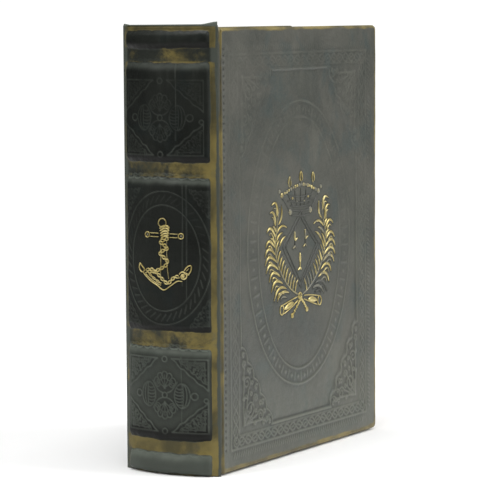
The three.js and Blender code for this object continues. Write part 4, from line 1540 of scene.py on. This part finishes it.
def soft_panel(name, low, high, out_axis, out_sign, swell, edge):
    """A thin padded panel with rounded edges. Its middle stands that much prouder than its rim."""
    a, b = [axis for axis in range(3) if axis != out_axis]
    rows, cols = 60, 44
    ga, gb = np.meshgrid(np.linspace(0, 1, cols), np.linspace(0, 1, rows))
    size_a, size_b = high[a] - low[a], high[b] - low[b]
    inset = np.minimum(np.minimum(ga, 1 - ga) * size_a, np.minimum(gb, 1 - gb) * size_b)
    thickness = high[out_axis] - low[out_axis]
    crown = np.sin(np.pi * ga) ** 0.5 * np.sin(np.pi * gb) ** 0.5
    drop = edge * (1 - ease(inset / 3.0)) + swell * (1 - crown)
    face = np.zeros((rows, cols, 3))
    face[..., a] = low[a] + ga * size_a
    face[..., b] = low[b] + gb * size_b
    base, top = (low, high) if out_sign > 0 else (high, low)
    face[..., out_axis] = top[out_axis] - out_sign * np.minimum(drop, thickness * 0.9)
    return make_object(name, *flat_backed(face, out_axis, base[out_axis]), velvet)


def add_pad(node):
    """A velvet-covered foam pad: swollen by cloth simulation inside the box of its CAD solid."""
    shrink, most_swelling, inside_box, voxel = 0.9, 1.5, 0.1, 2.8
    low, high = box_mm(node)
    size = high - low - 2 * shrink
    middle = (low + high) / 2
    work = bmesh.new()
    bmesh.ops.create_cube(work, size=1)
    for vert in work.verts:
        vert.co = Vector([(middle[i] + vert.co[i] * size[i]) * MM for i in range(3)])
    pad = object_from(work, node + "_velvet", velvet)
    apply_modifier(pad, "REMESH", mode="VOXEL", voxel_size=voxel * MM)
    rest = np.array([v.co for v in pad.data.vertices])
    swell_as_cloth(pad)
    shift = np.array([v.co for v in pad.data.vertices]) - rest
    length = np.linalg.norm(shift, axis=1, keepdims=True)
    shift *= np.minimum(1, most_swelling * MM / np.maximum(length, 1e-9))
    placed = np.clip(rest + shift, (low + inside_box) * MM, (high - inside_box) * MM)
    pad.data.vertices.foreach_set("co", placed.ravel())
    apply_modifier(pad, "SMOOTH", factor=0.5, iterations=3)
    apply_modifier(pad, "SUBSURF", levels=1, render_levels=1)
    pad.data.materials.clear()
    pad.data.materials.append(velvet)
    pad.data.polygons.foreach_set("use_smooth", [True] * len(pad.data.polygons))
    claim(pad, "case", "velvet", node)


SWELL_FRAMES = 16


def swell_as_cloth(pad):
    """Blows the pad up gently, as foam fills its cover, and keeps the result."""
    scene = bpy.context.scene
    modifier = pad.modifiers.new("cloth", "CLOTH")
    settings = modifier.settings
    settings.quality = 5
    settings.use_pressure = True
    settings.uniform_pressure_force = 4
    settings.effector_weights.gravity = 0
    settings.tension_stiffness = 30
    settings.compression_stiffness = 30
    settings.bending_stiffness = 4
    modifier.point_cache.frame_start = 1
    modifier.point_cache.frame_end = SWELL_FRAMES
    for step in range(1, SWELL_FRAMES + 1):
        scene.frame_set(step)
    evaluated = pad.evaluated_get(bpy.context.evaluated_depsgraph_get())
    mesh = bpy.data.meshes.new_from_object(evaluated)
    pad.modifiers.clear()
    pad.data = mesh
    scene.frame_set(1)


def add_linings_and_pads():
    add_cover_inside()
    for node in ("spine_side_pad", "fore_side_pad", "tail_pad", "head_pad"):
        add_pad(node)
    low, high = box_mm("floor_pad")
    panel = soft_panel("floor_pad_velvet", low, high, out_axis=1, out_sign=-1, swell=0.5, edge=0.9)
    claim(panel, "case", "velvet", "floor_pad")


# ------------------------------------------------------------------ the cryptex
sleeve_low, sleeve_high = box_mm("cryptex_sleeve")
AXIS = (sleeve_low[:2] + sleeve_high[:2]) / 2
DIAL_SIDES = 10
DIALS = 5
DIAL_APOTHEM = 22.0
PANEL_DEPTH = 0.45


def add_turned_cap(node, body, profile, belt):
    """A brass cap with a fluted belt, turned about the cryptex's axis, where its profile starts and ends."""
    segments, flutes, flute_depth = 120, 60, 0.7
    angles = np.arange(segments) / segments * 2 * np.pi
    points = []
    for radius, z in profile:
        depth = flute_depth if belt[0] < z < belt[1] else 0
        r = radius - depth * np.abs(np.sin(flutes / 2 * angles)) ** 1.5
        x, y = AXIS[0] + r * np.cos(angles), AXIS[1] + r * np.sin(angles)
        points.append(np.column_stack([x, y, np.full(segments, z)]))
    faces = grid_faces(len(profile), segments, closed=True)
    obj = make_object(node + "_turned", np.vstack(points), faces, brass)
    work = bmesh.new()
    work.from_mesh(obj.data)
    bmesh.ops.remove_doubles(work, verts=work.verts, dist=1e-6)
    bmesh.ops.recalc_face_normals(work, faces=work.faces)
    work.to_mesh(obj.data)
    work.free()
    sharpen(obj, 32)
    claim(obj, body, "brass", node)


def sharpen(obj, degrees):
    """Keeps edges sharper than this angle crisp, and shades the rest smooth."""
    work = bmesh.new()
    work.from_mesh(obj.data)
    limit = math.radians(degrees)
    for edge in work.edges:
        edge.smooth = len(edge.link_faces) == 2 and edge.calc_face_angle(0) < limit
    for face in work.faces:
        face.smooth = True
    work.to_mesh(obj.data)
    work.free()


def end_cap_profile(outer, bore, closed_z, seat_z, mouth_z):
    """A cap from its closed end to its mouth: domed end, fluted belt between beads, plain skirt."""
    way = 1 if mouth_z > closed_z else -1
    length = abs(mouth_z - closed_z)

    def at(share):
        return closed_z + way * length * share

    return [
        (0.0, at(0.045)), (6.0, at(0.045)), (6.6, at(0.0)), (9.0, at(0.0)), (9.8, at(0.05)), (15.0, at(0.07)),
        (16.4, at(0.02)), (18.0, at(0.03)), (20.6, at(0.085)), (22.2, at(0.13)), (outer - 0.25, at(0.17)),
        (outer - 0.25, at(0.20)), (outer - 1.0, at(0.215)), (outer - 1.0, at(0.235)), (outer - 0.1, at(0.25)),
        (outer - 0.1, at(0.26)), (outer - 0.1, at(0.44)), (outer - 0.1, at(0.45)), (outer - 1.0, at(0.465)),
        (outer - 2.0, at(0.50)), (outer - 2.2, at(0.58)), (outer - 2.0, at(0.66)), (outer - 1.0, at(0.70)),
        (outer - 0.2, at(0.73)), (outer - 0.2, at(0.80)), (outer - 0.9, at(0.82)), (outer - 0.9, at(0.84)),
        (outer - 0.1, at(0.86)), (outer - 0.1, at(0.97)), (outer - 0.6, at(1.0)), (bore, at(1.0)),
        (bore, seat_z), (0.0, seat_z),
    ]


def add_caps():
    for node, body, seated in (
        ("cryptex_base_cap", "case", "cryptex_sleeve"), ("cryptex_pull_cap", "draw_tube", "cryptex_draw_tube")
    ):
        low, high = box_mm(node)
        tube_low, tube_high = box_mm(seated)
        outer = (high[0] - low[0]) / 2
        bore = (tube_high[0] - tube_low[0]) / 2 + GLUE_GAP
        if body == "draw_tube":
            closed_z, mouth_z, seat_z = high[2], low[2], tube_high[2] + GLUE_GAP
        else:
            closed_z, mouth_z, seat_z = low[2], high[2], tube_low[2] - GLUE_GAP
        profile = end_cap_profile(outer, bore, closed_z, seat_z, mouth_z)
        belt = sorted(closed_z + (mouth_z - closed_z) * share for share in (0.255, 0.445))
        add_turned_cap(node, body, profile, belt)


def add_dial(number):
    """A ten-sided ring with a sunk panel on each side and a round bore."""
    node = f"cryptex_dial_{number}"
    low, high = box_mm(node)
    levels = (low[2], high[2])
    corner = DIAL_APOTHEM / math.cos(math.pi / DIAL_SIDES)
    bore = (sleeve_high[0] - sleeve_low[0]) / 2 + GLUE_GAP
    bore_steps = DIAL_SIDES * 6
    angles = (np.arange(DIAL_SIDES) + 0.5) / DIAL_SIDES * 2 * np.pi - np.pi / 2
    work = bmesh.new()

    def ring_at(z, radius, angles):
        spots = [(AXIS[0] + radius * math.cos(a), AXIS[1] + radius * math.sin(a), z) for a in angles]
        return [work.verts.new([c * MM for c in spot]) for spot in spots]

    rings = [ring_at(z, corner, angles) for z in levels]
    panels = []
    for i in range(DIAL_SIDES):
        j = (i + 1) % DIAL_SIDES
        panels.append(work.faces.new((rings[0][i], rings[0][j], rings[1][j], rings[1][i])))
    inner = [ring_at(z, bore, angles[0] + np.arange(bore_steps) / bore_steps * 2 * np.pi) for z in levels]
    for i in range(bore_steps):
        j = (i + 1) % bore_steps
        work.faces.new((inner[0][i], inner[1][i], inner[1][j], inner[0][j]))
    per = bore_steps // DIAL_SIDES
    for level in (0, 1):
        for i in range(DIAL_SIDES):
            arc_points = [inner[level][(i * per + k) % bore_steps] for k in range(per + 1)]
            work.faces.new([rings[level][i], *arc_points, rings[level][(i + 1) % DIAL_SIDES]])
    bmesh.ops.recalc_face_normals(work, faces=work.faces)
    edges = {e for face in panels for e in face.edges}
    bmesh.ops.bevel(work, geom=list(edges), offset=0.5 * MM, segments=2, profile=0.6, affect="EDGES")
    least_area = 60 * MM * MM  # smaller than any side, and larger than the bevel's strips
    sides = [
        f for f in work.faces
        if abs(f.normal.z) < 0.1 and f.calc_area() > least_area
        and (f.calc_center_median().xy - Vector(AXIS) * MM).length > 20 * MM
    ]
    bmesh.ops.inset_individual(work, faces=sides, thickness=1.1 * MM, depth=0)
    bmesh.ops.inset_individual(work, faces=sides, thickness=0.35 * MM, depth=-PANEL_DEPTH * MM)
    ring = object_from(work, node + "_ring", brass)
    sharpen(ring, 30)
    claim(ring, f"dial_{number}", "brass", node)
    add_digits(number, sum(levels) / 2)


def add_digits(number, z_middle):
    """The digits 0 to 9 round a dial, enamelled and a little proud of their panels."""
    upright = Matrix.Rotation(math.pi / 2, 4, "X")
    outwards = Matrix.Translation((0, -(DIAL_APOTHEM - PANEL_DEPTH) * MM, 0))
    to_axis = Matrix.Translation((AXIS[0] * MM, AXIS[1] * MM, z_middle * MM))
    work = bmesh.new()
    for digit in range(DIAL_SIDES):
        curve = bpy.data.curves.new(f"digit_{number}_{digit}", "FONT")
        curve.body = str(digit)
        curve.size = 8.6 * MM
        curve.extrude = 0.18 * MM
        curve.align_x = "CENTER"
        curve.align_y = "CENTER"
        curve.resolution_u = 3
        text = bpy.data.objects.new(curve.name, curve)
        bpy.context.scene.collection.objects.link(text)
        mesh = bpy.data.meshes.new_from_object(text.evaluated_get(bpy.context.evaluated_depsgraph_get()))
        bpy.data.objects.remove(text)
        around = Matrix.Rotation(2 * math.pi * digit / DIAL_SIDES, 4, "Z")
        mesh.transform(to_axis @ around @ outwards @ upright)
        work.from_mesh(mesh)
    bmesh.ops.remove_doubles(work, verts=work.verts, dist=1e-7)
    claim(object_from(work, f"dial_{number}_digits", enamel), f"dial_{number}", "dark_brass")


def add_index_mark():
    """A small raised arrow on the collar that shows where the digits are read."""
    low, high = box_mm("cryptex_collar")
    front_y = AXIS[1] - (high[0] - low[0]) / 2
    z0, middle, taper = low[2] + 1.2, 2.9, 0.8
    outline = ((-2.6, 4.6), (2.6, 4.6), (0, 0))
    points = [(AXIS[0] + x, front_y + 0.5, z0 + z) for x, z in outline]
    points += [(AXIS[0] + x * taper, front_y - 0.35, z0 + middle + (z - middle) * taper) for x, z in outline]
    mark = make_object("cryptex_index_mark", points, tube_faces(2, 3), enamel)
    sharpen(mark, 20)
    claim(mark, "case", "dark_brass")


def add_cryptex():
    add_caps()
    for number in range(1, DIALS + 1):
        add_dial(number)
    add_index_mark()


# ------------------------------------------------------------------ CAD nodes that stay
KEPT = {
    greyboard: ("front_cover_board", "back_cover_board"),
    timber: ("fore_edge_wall", "spine_side_wall", "head_wall", "tail_wall", "spine_core"),
    velvet: ("floor_lining", "spine_side_lining", "fore_side_lining", "head_lining", "tail_lining"),
    nickel: (
        "case_magnet_lower", "case_magnet_upper", "cover_strike_plate_lower", "cover_strike_plate_upper",
    ),
    brass: ("cryptex_collar",),
    dark_brass: ("cryptex_sleeve", "cryptex_draw_tube", *(f"cryptex_washer_{i}" for i in range(1, DIALS))),
}


def paint_kept_nodes():
    for material, nodes in KEPT.items():
        for node in nodes:
            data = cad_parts[node].data
            data.materials.clear()
            data.materials.append(material)


# ------------------------------------------------------------------ the scene
add_camera()
add_studio(floor_finish(), backdrop_finish())
add_front_cover()
add_back_cover()
add_spine()
add_headcap_roll()
add_hinge_leather()
add_page_edges("fore_edge_leaves", "fore_edge_pages", 0, 1, 2)
add_page_edges("head_leaves", "head_pages", 2, 1, 0)
add_page_edges("tail_leaves", "tail_pages", 2, -1, 0)
add_headband("headband_at_head", box_mm("head_pages")[1][2] + 1.0)
add_headband("headband_at_tail", box_mm("tail_pages")[0][2] - 1.0)
add_linings_and_pads()
add_cryptex()
paint_kept_nodes()
